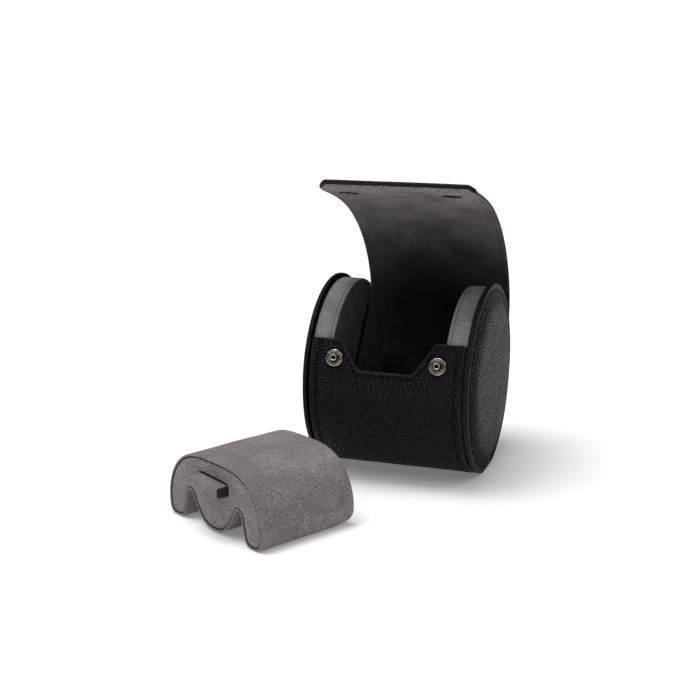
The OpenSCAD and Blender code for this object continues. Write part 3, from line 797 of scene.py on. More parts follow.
# --- lid pieces: the last one rides on body lid_5, the others are baked in place
def build_lid():
    cuts = [S_WRAP_END] + S_MID
    b_side = W - np.abs(XC)
    lin_half = W - 0.42
    lin_x = np.r_[-lin_half, -(lin_half - .12), -(lin_half - .4), np.linspace(-(lin_half - 1.0), lin_half - 1.0, 61), lin_half - .4, lin_half - .12, lin_half]
    for k in range(6):
        last = k == 5
        s0 = cuts[k]
        s1 = cuts[k + 1] if not last else None
        if not last:
            rows = np.linspace(s0, s1, int((s1 - s0) / 0.9) + 1)
            SS = np.repeat(rows[:, None], len(XC), 1)
            BB = np.full_like(SS, 99.0)
        else:
            rb = np.r_[B_ROWS, [2.0, 2.3, 2.6, 2.9, 3.2, 4.0]][::-1]
            base = LE - rb[0] * LK
            SS = [s0 + (base - s0) * t for t in np.linspace(0, 1, 17)]
            BB = [np.full_like(LE, 99.0)] * 17
            for r_ in rb[1:]:
                SS.append(LE - r_ * LK)
                BB.append(np.full_like(LE, r_))
            SS, BB = np.array(SS), np.array(BB)
        XX = np.broadcast_to(XC, SS.shape)
        bs = np.broadcast_to(b_side, SS.shape)
        fade = smoothstep(0.3, 1.6, np.minimum(bs, BB))
        dep = nose(bs, BB) + rel(XX, SS) * fade
        if last:
            dep = dep + front_line(BB) * smoothstep(0.5, 2.0, bs)
        over = np.clip(np.hypot(np.clip(RB - bs, 0, None), np.clip(RB - BB, 0, None)) - RB, 0, None)
        V = sheet_pt(XX - np.sign(XX) * over * 0.7, SS - over * 0.7, dep)
        bag = Bag()
        bag.add(V, grid_faces(*SS.shape), edge_mask(bs, BB), np.stack([XX, SS], -1))
        ins = INS_B
        for sg in (-1, 1):
            xs = np.array([sg * (W - q) for q in ins])
            ss = SS[:, 0]
            Xs, Ss = np.meshgrid(xs, ss, indexing="ij")
            bb = BB[:, 0]
            bs2, bf2 = np.meshgrid(ins, bb, indexing="ij")
            ov2 = np.clip(np.hypot(np.clip(RB - bs2, 0, None), np.clip(RB - bf2, 0, None)) - RB, 0, None)
            if last:
                fe_s = np.interp(np.abs(xs), np.abs(XC[:len(XC) // 2 + 1][::-1]), LE[:len(XC) // 2 + 1][::-1])
                Ss = s0 + (Ss - s0) * ((fe_s[:, None] - s0) / (LE[0] - s0))
            Vs = sheet_pt(Xs - sg * ov2 * 0.7, Ss - ov2 * 0.7, inner_dep(bs2, bf2, np.broadcast_to(INS_FIRST[:, None], bs2.shape)))
            bag.add(Vs, grid_faces(len(xs), len(ss), flip=(sg < 0)), 1, np.stack([Xs, Ss + 30], -1))
        if last:
            SSi = np.array([LE - q * LK for q in ins])
            BBi = np.broadcast_to(ins[:, None], SSi.shape)
            Xi = np.broadcast_to(XC, SSi.shape)
            bsi = np.broadcast_to(b_side, SSi.shape)
            ov = np.clip(np.hypot(np.clip(RB - bsi, 0, None), np.clip(RB - BBi, 0, None)) - RB, 0, None)
            Vi = sheet_pt(Xi - np.sign(Xi) * ov * 0.7, SSi - ov * 0.7, inner_dep(bsi, BBi, np.broadcast_to(INS_FIRST[:, None], bsi.shape)))
            bag.add(Vi, grid_faces(len(ins), len(XC)), 1, np.stack([Xi, SSi + 30], -1))
        tag = "abcdef"[k]
        # lining
        if not last:
            rl = np.linspace(s0, s1, int((s1 - s0) / 1.2) + 1)
            SSl = np.repeat(rl[:, None], len(lin_x), 1)
            bf = np.full_like(SSl, 50.0)
        else:
            le = free_edge(lin_x)
            lk = np.sqrt(1 + slope(free_edge, lin_x) ** 2)
            q0 = 1.45
            bl = np.array([4.8, 4.3, 3.9, 3.5, 3.15, 2.85, 2.6, 2.35, 2.1, 1.85, 1.6, q0])
            SSl = [s0 + (le - bl[0] * lk - s0) * t for t in np.linspace(0, 1, 16)]
            bf = [np.full_like(le, 50.0)] * 15 + [np.full_like(le, bl[0] - q0)]
            for q in bl[1:]:
                SSl.append(le - q * lk)
                bf.append(np.full_like(le, q - q0))
            SSl, bf = np.array(SSl), np.array(bf)
        Xl = np.broadcast_to(lin_x, SSl.shape)
        bx = lin_half - np.abs(Xl)
        lift = 0.20 * smoothstep(0, 0.4, np.minimum(bx, bf)) - 0.02
        g = 0.14 * np.exp(-((np.abs(Xl) - XS_LIN) / 0.45) ** 2)
        puck = 0.0
        if last:
            # puckered strip between the stitch line and the edge
            q = bf + q0
            strip = smoothstep(4.3, 3.5, q) * smoothstep(q0, 2.0, q)
            puck = -0.08 * np.exp(-((q - ST_IN) / 0.32) ** 2) * (bf < 40)
            puck = puck + strip * (0.16 + 0.13 * np.sin(Xl * 2.1 + 0.6 * np.sin(Xl * 0.37)) + 0.06 * np.sin(Xl * 4.3 + 1.0))
        Vl = sheet_pt(Xl, SSl, T + lift - g + puck)
        fml = None
        if last:
            fml = np.repeat(((bf[1:, 0] + q0) < 3.95).astype(int), len(lin_x) - 1).tolist()
        Fl = grid_faces(*SSl.shape, flip=True)
        if last:
            # the snap's post passes through the lining: a hole under each socket, covered by its flange
            P_ = Vl.reshape(-1, 3)
            keep_f = []
            for f in Fl:
                c_ = P_[list(f)].mean(0)
                near_ = False
                for xs_ in (-27.0, 27.0):
                    h_ = sheet_pt(xs_, SOCKET_S, T + 0.18)
                    near_ = near_ or math.hypot(c_[0] - xs_, math.hypot(c_[1] - h_[1], c_[2] - h_[2])) < 4.45
                keep_f.append(not near_)
            fml = [m_ for m_, k_ in zip(fml, keep_f) if k_]
            Fl = [f for f, k_ in zip(Fl, keep_f) if k_]
        lo = make("lid_suede_" + tag, Vl.reshape(-1, 3), Fl, [M_SUEDE_LINING_PAINTED, M_SUEDE_S], fm=fml, uv=np.stack([Xl, SSl], -1).reshape(-1, 2),
                  slot="lining_suede", replaces=(() if k == 0 else ("lid_lining_%d" % k,)), ride=False)
        # stitches
        sb = Bag()
        for sg in (-1, 1):
            e = (s1 if not last else S_END - 6.2)
            pl = [(sg * XS_ST, s) for s in np.linspace(s0 + 0.3, e - 0.3, 40)]
            fn, L = sheet_path(pl, 0.05)
            stitch_mesh(sb, fn, L)
            pl = [(sg * XS_LIN, s) for s in np.linspace(s0 + 0.3, e - 0.3, 40)]
            fn, L = sheet_path(pl, T + 0.10, inner=True)
            stitch_mesh(sb, fn, L, rad=0.18, pitch=2.9, ln=1.5, hole=0.80, lift=0.20)
        if last:
            line = offset_edge(free_edge, -XS_ST, XS_ST, ST_IN, -1)
            line = line[np.abs(line[:, 0]) <= XS_ST]
            fn, L = sheet_path(line, 0.05)
            stitch_mesh(sb, fn, L)
            fn, L = sheet_path(line, T + 0.12, inner=True)
            stitch_mesh(sb, fn, L, rad=0.12, ln=1.2, hole=0.30)
        lea = bag.make("lid_leather_" + tag, [M_LEATHER, M_EDGE2], slot="pebbled_leather",
                       replaces=(() if k == 0 else ("lid_leather_%d" % k, "lid_board_%d" % k)), ride=False)
        sti = sb.make("lid_stitches_" + tag, [M_THREAD, M_HOLE_PAINTED_SHADE], slot="pebbled_leather", ride=False)
        for o in (lea, lo, sti):
            if last:
                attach(o, "lid_5")
            else:
                p0 = sheet_pt(0.0, s0, 0.0)[()] if False else sheet_mid(s0)
                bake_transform(o)


def sheet_mid(s):
    return np.array([0.0, float(np.interp(s, SG, PY)), AX + float(np.interp(s, SG, PZ))])


build_wrap()
build_wrap_stitches()
build_lid()

# ------------------------------------------------------------------ lathed parts about the drum axis


def arc_pts(cx, cr, r, a0, a1, n):
    return [(cx + r * math.cos(a * DEG), cr + r * math.sin(a * DEG)) for a in np.linspace(a0, a1, n)]


def lathe_x(profile, sg, nseg=256, flat=True, extra=None, a0=0.0):
    """profile: (x, r) pairs; returns V, F, uv. sg mirrors it to the left."""
    prof = np.asarray(profile, float)
    th = np.linspace(0, 2 * math.pi, nseg, endpoint=False) + a0
    L = np.r_[0, np.cumsum(np.linalg.norm(np.diff(prof, axis=0), axis=1))]
    rr = np.repeat(prof[:, 1][:, None], nseg, 1)
    xx = np.repeat(prof[:, 0][:, None], nseg, 1)
    if extra is not None:
        xx, rr = extra(xx, rr, th[None, :])
    y = rr * np.cos(th)
    z = rr * np.sin(th)
    if flat:
        lim = -(AX - (R - np.minimum(rr, R)))
        z = np.maximum(z, np.where(rr > 40, lim, -1e9))
    V = np.stack([sg * xx, y, AX + z], -1)
    F = grid_faces(len(prof), nseg, close_c=True, flip=(sg > 0))
    uv = np.stack([np.repeat((th * 48.0)[None, :], len(prof), 0), np.repeat(L[:, None], nseg, 1)], -1)
    return V.reshape(-1, 3), F, uv.reshape(-1, 2)


def circle_path(x, r, sg, nrm):
    def fn(u):
        th = u / r
        y, z = r * np.cos(th), r * np.sin(th)
        z = np.maximum(z, -(AX - (R - r)))
        p = np.stack([np.full_like(u, sg * x), y, AX + z], -1)
        a = np.stack([np.zeros_like(u), -np.sin(th), np.cos(th)], -1)
        n = np.stack([np.full_like(u, sg * nrm[0]), nrm[1] * np.cos(th), nrm[1] * np.sin(th)], -1)
        return p, a, n
    return fn


def build_caps():
    for side, sg in (("left", -1), ("right", 1)):
        # rim ring
        prof = [(40.85, 46.9), (40.82, 48.9)] + arc_pts(41.45, 49.45, 0.62, 180, 90, 7) + [(41.9, 50.12), (42.3, 50.14)] + arc_pts(42.62, 49.25, 0.88, 90, 0, 10)
        prof += [(43.54, 48.95), (43.56, 48.7), (43.44, 48.45), (43.40, 48.25), (43.46, 48.0), (43.54, 47.75), (43.48, 47.5), (43.25, 47.3), (42.85, 47.2)]

        def ex(xx, rr, th):
            return xx + 0.03 * np.sin(th * 9 + 1) * (xx > 42.0), rr
        V, F, uv = lathe_x(prof, sg, 320, extra=ex)
        # painted shadow: the rim's inner shoulder faces take near-black material for the groove's shade
        inner = [1 if max(prof[i][0], prof[i + 1][0]) < 41.35 and prof[i][1] > 46 else 0 for i in range(len(prof) - 1)]
        make("cap_rim_ring_" + side, V, F, [M_RIM, M_GAP_PAINTED_SHADOW], fm=[k for k in inner for _ in range(320)], uv=uv, body="drum", slot="rim_leather", replaces=("cap_rim_" + side,))
        # welt
        prof = arc_pts(42.72, 46.98, 0.30, 0, 360, 11)
        V, F, uv = lathe_x(prof, sg, 256)
        make("cap_welt_cord_" + side, V, F, [M_WELT_HIGHLIGHT], uv=uv, body="drum", slot="welt_leather", replaces=("cap_welt_" + side,))
        bag = Bag()
        stitch_mesh(bag, circle_path(43.40, 48.28, sg, (1, 0)), 2 * math.pi * 48.28, pitch=2.6, ln=1.9, rad=0.17, sink=0.3, hole=0.4)
        bag.make("cap_stitches_" + side, [M_THREAD2, M_HOLE_PAINTED_SHADE], body="drum", slot="rim_leather")
        # padded panel
        n = 90
        rs = 46.75 * (1 - np.linspace(0, 1, n) ** 1.25)
        rk = np.linspace(0, 50, 1001)
        hk = np.interp(rk, [0, 20, 30, 34.5, 37, 45.6, 46.4, 46.75, 50], [3.45, 3.40, 3.30, 3.18, 2.95, 0.85, 0.45, 0.0, 0.0])
        ks = np.ones(31) / 31
        hs = np.convolve(np.pad(hk, 15, mode="edge"), ks, "valid")
        hs = np.where(rk > 45.4, hk, np.where(rk > 44.4, hs + (hk - hs) * (rk - 44.4), hs))
        h = np.interp(rs, rk, hs)
        prof = [(42.3, 46.9)] + [(42.80 + hh, max(r_, 0.02)) for hh, r_ in zip(h, rs)]

        def ex2(xx, rr, th):
            w = 0.07 * np.sin(rr * 0.32 + th * 3) * np.sin(th * 2 + 0.7) + 0.05 * np.cos(th * 5 + rr * 0.2)
            return xx + w * smoothstep(47, 40, rr) * smoothstep(0, 15, rr), rr
        V, F, uv = lathe_x(prof, sg, 220, flat=False, extra=ex2)
        uv = np.stack([V[:, 1], V[:, 2] * 1.0], -1)
        rr_ = np.hypot(V[:, 1], V[:, 2] - AX)
        fr = [math.hypot(V[f[0], 1], V[f[0], 2] - AX) for f in F]
        # painted shade: faces beyond radius 38.4 take the slope copy, beyond 40.6 the darker border copy
        o = make("cap_padded_panel_" + side, V, F, [M_PANEL_PAINTED_REFLECTION, M_PANEL_SLOPE_SHADE, M_PANEL_BORDER_SHADE], fm=[2 if q > 40.6 else (1 if q > 38.4 else 0) for q in fr], uv=uv, body="drum", slot="panel_leather",
                 replaces=("cap_panel_" + side, "cap_pad_" + side))


def rounded_box(x0, x1, y0, y1, z0, z1, r, n=4):
    """closed rounded box as verts and faces"""
    import bmesh
    bm = bmesh.new()
    bmesh.ops.create_cube(bm, size=1)
    for v in bm.verts:
        v.co = Vector(((x0 + x1) / 2 + v.co.x * (x1 - x0), (y0 + y1) / 2 + v.co.y * (y1 - y0), (z0 + z1) / 2 + v.co.z * (z1 - z0)))
    bmesh.ops.bevel(bm, geom=bm.edges[:], offset=r, segments=n, profile=0.5, affect="EDGES")
    V = np.array([v.co[:] for v in bm.verts])
    for i, v in enumerate(bm.verts):
        v.index = i
    F = [tuple(v.index for v in f.verts) for f in bm.faces]
    bm.free()
    return V, F


def build_discs():
    SD = 51.5 * DEG
    e = np.array([math.cos(SD), math.sin(SD)])
    n_ = np.array([-math.sin(SD), math.cos(SD)])
    for side, sg in (("left", -1), ("right", 1)):
        prof = [(29.25, 0.0)] + [(29.25, r_) for r_ in np.linspace(3, 45.5, 18)]
        prof += arc_pts(30.75, 46.4, 1.5, 180, 90, 9)
        prof += [(31.1, 47.9), (31.35, 47.82), (31.55, 47.70), (31.75, 47.78), (32.1, 47.9), (33.5, 47.98), (35.5, 48.0), (37.5, 47.98), (39.2, 47.9)]
        prof += arc_pts(39.7, 47.2, 0.7, 90, 0, 6) + [(40.45, 46.5), (40.5, 30.0), (40.5, 0.0)]
        V, F, uv = lathe_x(prof, sg, 288)
        # caps: radial UV on the face
        r_ = np.hypot(V[:, 1], V[:, 2] - AX)
        face = (np.abs(V[:, 0]) < 29.6)
        uv = np.where(face[:, None], np.stack([V[:, 1], V[:, 2]], -1), np.stack([np.arctan2(V[:, 2] - AX, V[:, 1]) * 48, np.abs(V[:, 0]) * 1.0 + 17], -1))
        nseg = 288
        # painted shade: the face rows take the darker face suede
        fm = [2 if (f[0] // nseg) < 24 and (f[2] // nseg) < 24 else 0 for f in F]
        disc = make("disc_tmp_" + side, V, F, [M_SUEDE_D, M_SUEDE_SLOT_SHADE, M_SUEDE_FACE_SHADE], fm=fm, uv=uv, ride=False)
        # cutter
        Lc = 70.0
        pts = []
        w2 = 3.3
        for a in np.linspace(90, 270, 17):
            pts.append((-8.7 + w2 * math.cos(a * DEG), w2 * math.sin(a * DEG)))
        pts += [(Lc, -w2), (Lc, w2)]
        P2 = [5.0 * n_ + q[0] * e + q[1] * n_ for q in pts]
        Vc = [(sg * 28.0, p[0], AX + p[1]) for p in P2] + [(sg * 36.75, p[0], AX + p[1]) for p in P2]
        m = len(P2)
        Fc = [(i, (i + 1) % m, m + (i + 1) % m, m + i) for i in range(m)] + [tuple(range(m))[::-1], tuple(range(m, 2 * m))]
        if sg < 0:
            Fc = [f[::-1] for f in Fc]
        # painted shade: the cutter's near-black suede passes to the slot's cut walls
        cut = make("cut_tmp_" + side, Vc, Fc, [M_SUEDE_SLOT_SHADE], ride=False, smooth=False)
        md = disc.modifiers.new("slot", "BOOLEAN")
        md.object = cut
        md.operation = "DIFFERENCE"
        md.solver = "EXACT"
        md.material_mode = "TRANSFER"
        dg = bpy.context.evaluated_depsgraph_get()
        me = bpy.data.meshes.new_from_object(disc.evaluated_get(dg))
        for o in (disc, cut):
            bpy.data.objects.remove(o)
        me.name = "disc_suede_" + side
        o = bpy.data.objects.new("disc_suede_" + side, me)
        bpy.context.scene.collection.objects.link(o)
        me.set_sharp_from_angle(angle=40 * DEG)
        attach(o, "drum")
        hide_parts("disc_face_" + side, "disc_band_" + side, "disc_core_" + side)
        # seam stitches on the band and rolled lip round the slot
        bag = Bag()
        stitch_mesh(bag, circle_path(31.55, 47.78, sg, (0, 1)), 2 * math.pi * 47.78, pitch=1.7, ln=1.15, rad=0.13, sink=0.26, hole=0.3)
        bag.make("disc_stitches_" + side, [M_SEAM_AND_PAINTED_SHADE, M_SEAM_AND_PAINTED_SHADE], body="drum", slot="disc_suede")
        # lip: tube along the slot's outline on the face
        path = []
        for s_ in np.linspace(46.0, -8.7, 60):
            path.append(5.0 * n_ + s_ * e + 3.3 * n_)
        for a in np.linspace(90, 270, 25)[1:-1]:
            path.append(5.0 * n_ + (-8.7 + 3.3 * math.cos(a * DEG)) * e + 3.3 * math.sin(a * DEG) * n_)
        for s_ in np.linspace(-8.7, 46.0, 60):
            path.append(5.0 * n_ + s_ * e - 3.3 * n_)
        path = np.array([p for p in path if np.hypot(*p) < 46.3])
        tang = np.gradient(path, axis=0)
        tang /= np.linalg.norm(tang, axis=1)[:, None]
        out = np.stack([tang[:, 1], -tang[:, 0]], -1)
        ring = 10
        ang = np.linspace(0, 2 * math.pi, ring, endpoint=False)
        rr = 0.42
        V = np.zeros((len(path), ring, 3))
        V[:, :, 0] = sg * (29.25 + 0.22 + rr * np.cos(ang)[None, :])
        V[:, :, 1] = path[:, 0][:, None] + out[:, 0][:, None] * (rr * np.sin(ang)[None, :])
        V[:, :, 2] = AX + path[:, 1][:, None] + out[:, 1][:, None] * (rr * np.sin(ang)[None, :])
        F = grid_faces(len(path), ring, close_c=True, flip=(sg < 0))
        uvp = np.stack([np.repeat(np.arange(len(path))[:, None] * 0.9, ring, 1), np.repeat(ang[None, :] * rr, len(path), 0)], -1)
        make("slot_lip_" + side, V.reshape(-1, 3), F, [M_SUEDE_FACE_SHADE], uv=uvp.reshape(-1, 2), body="drum", slot="disc_suede")


build_caps()
build_discs()

# ------------------------------------------------------------------ snaps


def lathe_at(origin, axis, profile, nseg=72, uvs=1.0):
    """profile: (r, h) along axis from origin"""
    axis = np.asarray(axis, float)
    axis = axis / np.linalg.norm(axis)
    u = np.array([1.0, 0, 0])
    v = np.cross(axis, u)
    th = np.linspace(0, 2 * math.pi, nseg, endpoint=False)
    prof = np.asarray(profile, float)
    V = (np.asarray(origin, float)[None, None, :] + prof[:, 1][:, None, None] * axis
         + prof[:, 0][:, None, None] * (np.cos(th)[None, :, None] * u + np.sin(th)[None, :, None] * v))
    F = grid_faces(len(prof), nseg, close_c=True)
    return V.reshape(-1, 3), F


STUD = 159.5 * DEG
stud_ax = np.array([0, math.cos(STUD), math.sin(STUD)])


def swing_rest(p):
    """closed position to rest position for a point on the lid's last length"""
    N = 5
    lid_deg = [-18.0 + (171.5 + 18.0) * k / N for k in range(N + 1)]
    piv = []
    for k in range(N):
        a = lid_deg[k] * DEG
        if k == 0:
            piv.append(np.array([50.4 * math.cos(a), 50.4 * math.sin(a)]))
        else:
            piv.append(np.array([-0.7 + 53.3 * math.cos(a), 53.3 * math.sin(a)]))
    bends = [18.8, 8.3, 6.3, 19.7, 27.3]
    q = np.array([p[1], p[2] - AX])
    for j in range(N - 1, -1, -1):
        a = -bends[j] * DEG
        d = q - piv[j]
        q = piv[j] + np.array([d[0] * math.cos(a) - d[1] * math.sin(a), d[0] * math.sin(a) + d[1] * math.cos(a)])
    return np.array([p[0], q[0], q[1] + AX])


def build_snaps():
    bag = Bag()
    for x in (-27.0, 27.0):
        o = np.array([x, 0, AX]) + stud_ax * R
        # leather dimple ring, flange with rolled rim, inner ring, post with centre hole
        prof = [(4.36, -0.15)] + [(3.98 + 0.40 * math.cos(a * DEG), 0.28 + 0.40 * math.sin(a * DEG)) for a in np.linspace(-30, 190, 14)]
        prof += [(3.50, 0.10)]
        V, F = lathe_at(o, stud_ax, prof)
        bag.add(V, F, 0)
        # painted shade: darker metal in the groove and round the post
        V, F = lathe_at(o, stud_ax, [(3.52, 0.12), (3.42, 0.06), (3.30, 0.08)])
        bag.add(V, F, 1)
        prof = [(3.32, 0.07), (3.22, 0.20), (3.05, 0.27), (2.75, 0.25), (2.5, 0.20)]
        V, F = lathe_at(o, stud_ax, prof)
        bag.add(V, F, 0)
        V, F = lathe_at(o, stud_ax, [(2.52, 0.21), (2.3, 0.13), (1.9, 0.16), (1.62, 0.5), (1.56, 1.0)])
        bag.add(V, F, 1)
        prof = [(1.58, 0.95), (1.60, 1.4), (1.66, 1.8), (1.76, 2.1)]
        prof += [(1.40 + 0.36 * math.cos(a * DEG), 2.25 + 0.36 * math.sin(a * DEG)) for a in np.linspace(0, 165, 9)]
        prof += [(0.98, 2.2), (0.94, 1.75)]
        V, F = lathe_at(o, stud_ax, prof)
        bag.add(V, F, 0)
        # painted shade: near-black in the post's centre hole
        prof = [(0.95, 1.77), (0.8, 1.30), (0.5, 1.0), (0.01, 0.9)]
        V, F = lathe_at(o, stud_ax, prof)
        bag.add(V, F, 2)
        # painted shadow: a near-black ring round the rim where the leather sinks
        V, F = lathe_at(o, stud_ax, [(4.95, -0.22), (4.75, 0.02), (4.3, 0.03)])
        bag.add(V, F, 2)
    bag.make("snap_stud_pair", [M_METAL, M_METAL_PAINTED_SHADE, M_HOLE_PAINTED_SHADE], body="drum", slot="snap_metal", replaces=("snap_studs", "stud_eyelets"))
    bag = Bag()
    # sockets on the lid
    a0 = swing_rest(np.array([27.0, 0, AX]) + stud_ax * (R + 1.35))
    a1 = swing_rest(np.array([27.0, 0, AX]) + stud_ax * (R + 3.35))
    ax_ = (a1 - a0) / np.linalg.norm(a1 - a0)
    bag = Bag()
    cap = Bag()
    for x in (-27.0, 27.0):
        o = a0.copy()
        o[0] = x
        # height of the drawn lining and skin along this axis
        s_near = SG[np.argmin((PY - o[1]) ** 2 + (AX + PZ - o[2]) ** 2)]
        skin = sheet_pt(x, s_near, 0.0)
        lin = sheet_pt(x, s_near, T)
        h_skin = float((skin - o) @ ax_)
        h_lin = float((lin - o) @ ax_)
        # painted shade: near-black recess round and inside the ring, then the spring ring itself
        V, F = lathe_at(o, -ax_, [(r_, -h) for r_, h in [(3.3, h_lin + 0.14), (4.45, h_lin + 0.06), (4.6, h_lin - 0.24), (4.78, h_lin - 0.30), (5.15, h_lin - 0.30), (5.35, h_lin - 0.1), (5.4, h_lin + 0.2)][::-1]])
        bag.add(V, F, 2)
        prof = [(3.05 + 0.36 * math.cos(a * DEG), h_lin - 0.14 + 0.26 * math.sin(a * DEG)) for a in np.linspace(60, -240, 18)]
        V, F = lathe_at(o, -ax_, [(r_, -h) for r_, h in prof])
        bag.add(V, F, 0)
        # painted shade: near-black band inside the spring ring
        prof = [(2.85, h_lin - 0.02), (2.74, h_lin + 0.0), (2.6, h_lin + 0.02)]
        V, F = lathe_at(o, -ax_, [(r_, -h) for r_, h in prof])
        bag.add(V, F, 2)
        # painted shade: the bore takes the darker metal
        prof = [(2.62, h_lin + 0.0), (2.5, h_lin + 0.6), (2.4, h_lin + 2.4), (0.9, h_lin + 2.7), (0.01, h_lin + 2.7)]
        V, F = lathe_at(o, -ax_, [(r_, -h) for r_, h in prof])
        bag.add(V, F, 1)
        # cap outside
        prof = [(0.01, h_skin + 1.35), (1.2, h_skin + 1.33), (2.6, h_skin + 1.22), (4.0, h_skin + 1.0), (5.0, h_skin + 0.74), (5.6, h_skin + 0.45), (5.88, h_skin + 0.15), (5.9, h_skin - 0.1), (5.7, h_skin - 0.35)]
        V, F = lathe_at(o, ax_, prof[::-1])
        cap.add(V, F, 0)
    bag.make("snap_socket_pair", [M_SOCKET, M_METAL_PAINTED_SHADE, M_HOLE_PAINTED_SHADE], body="lid_5", slot="snap_metal", replaces=("snap_sockets", "socket_springs"))
    cap.make("snap_cap_pair", [M_CAPMETAL], body="lid_5", slot="snap_metal", replaces=("snap_caps",))


build_snaps()

# ------------------------------------------------------------------ cushion
CW, CH, CL = 73.0, 35.8, 56.4
ZC = 9.85
YAW = -30.4 * DEG
CORG = np.array([-59.0, -130.4, 0.0])


def cushion_outline():
    pts = []
    for a in np.linspace(0, 180, 61):
        c, s = math.cos(a * DEG), max(math.sin(a * DEG), 0)
        pts.append((CW / 2 * math.copysign(abs(c) ** (2 / 3.395), c), ZC + (CH - ZC) * s ** (2 / 1.756)))
    foot = [(36.4, 6.5), (36, 3.5), (35, 1.4), (33, 0.25), (30.6, 0), (28, 0), (26, 0.3), (24.4, 1.3), (23.3, 3), (22.6, 6), (21.9, 10),
            (20.9, 14), (19.7, 16.2), (18.4, 16.7), (17.3, 16), (15.6, 12.8), (13.4, 8.6), (10.8, 5), (7.8, 2.5), (4.2, 1.1)]
    pts += [(-x, z) for x, z in foot] + [(0, 0.7)] + foot[::-1]
    P = np.array(pts)
    # resample evenly and smooth lightly, keeping it closed
    Q = np.vstack([P, P[:1]])
    L = np.r_[0, np.cumsum(np.linalg.norm(np.diff(Q, axis=0), axis=1))]
    n = 300
    u = np.linspace(0, L[-1], n, endpoint=False)
    X = np.stack([np.interp(u, L, Q[:, 0]), np.interp(u, L, Q[:, 1])], -1)
    for _ in range(6):
        X = 0.5 * X + 0.25 * (np.roll(X, 1, 0) + np.roll(X, -1, 0))
    X[:, 1] = np.maximum(X[:, 1], 0.0)
    return X


OUT = cushion_outline()


def outline_normals(X):
    t = np.roll(X, -1, 0) - np.roll(X, 1, 0)
    t /= np.linalg.norm(t, axis=1)[:, None]
    return np.stack([t[:, 1], -t[:, 0]], -1)


ON = outline_normals(OUT)


def inset(d, smooth=0):
    X = OUT - ON * d
    for _ in range(smooth):
        X = 0.5 * X + 0.25 * (np.roll(X, 1, 0) + np.roll(X, -1, 0))
    return X


def c2w(u, v, w):
    """cushion local (across, along, up) to row frame, mm"""
    u, v, w = np.broadcast_arrays(np.asarray(u, float), np.asarray(v, float), np.asarray(w, float))
    return np.stack([CORG[0] + u * math.cos(YAW) - v * math.sin(YAW), CORG[1] + u * math.sin(YAW) + v * math.cos(YAW), w], -1)


def far_corner(X, v):
    """the outer foot is softer and lifts a little at the far end"""
    t = smoothstep(CL - 11, CL, v)
    k = smoothstep(26, 37, X[:, 0]) * smoothstep(8, 0, X[:, 1]) * t
    return X + np.stack([-1.7 * k, 0.45 * k], -1)


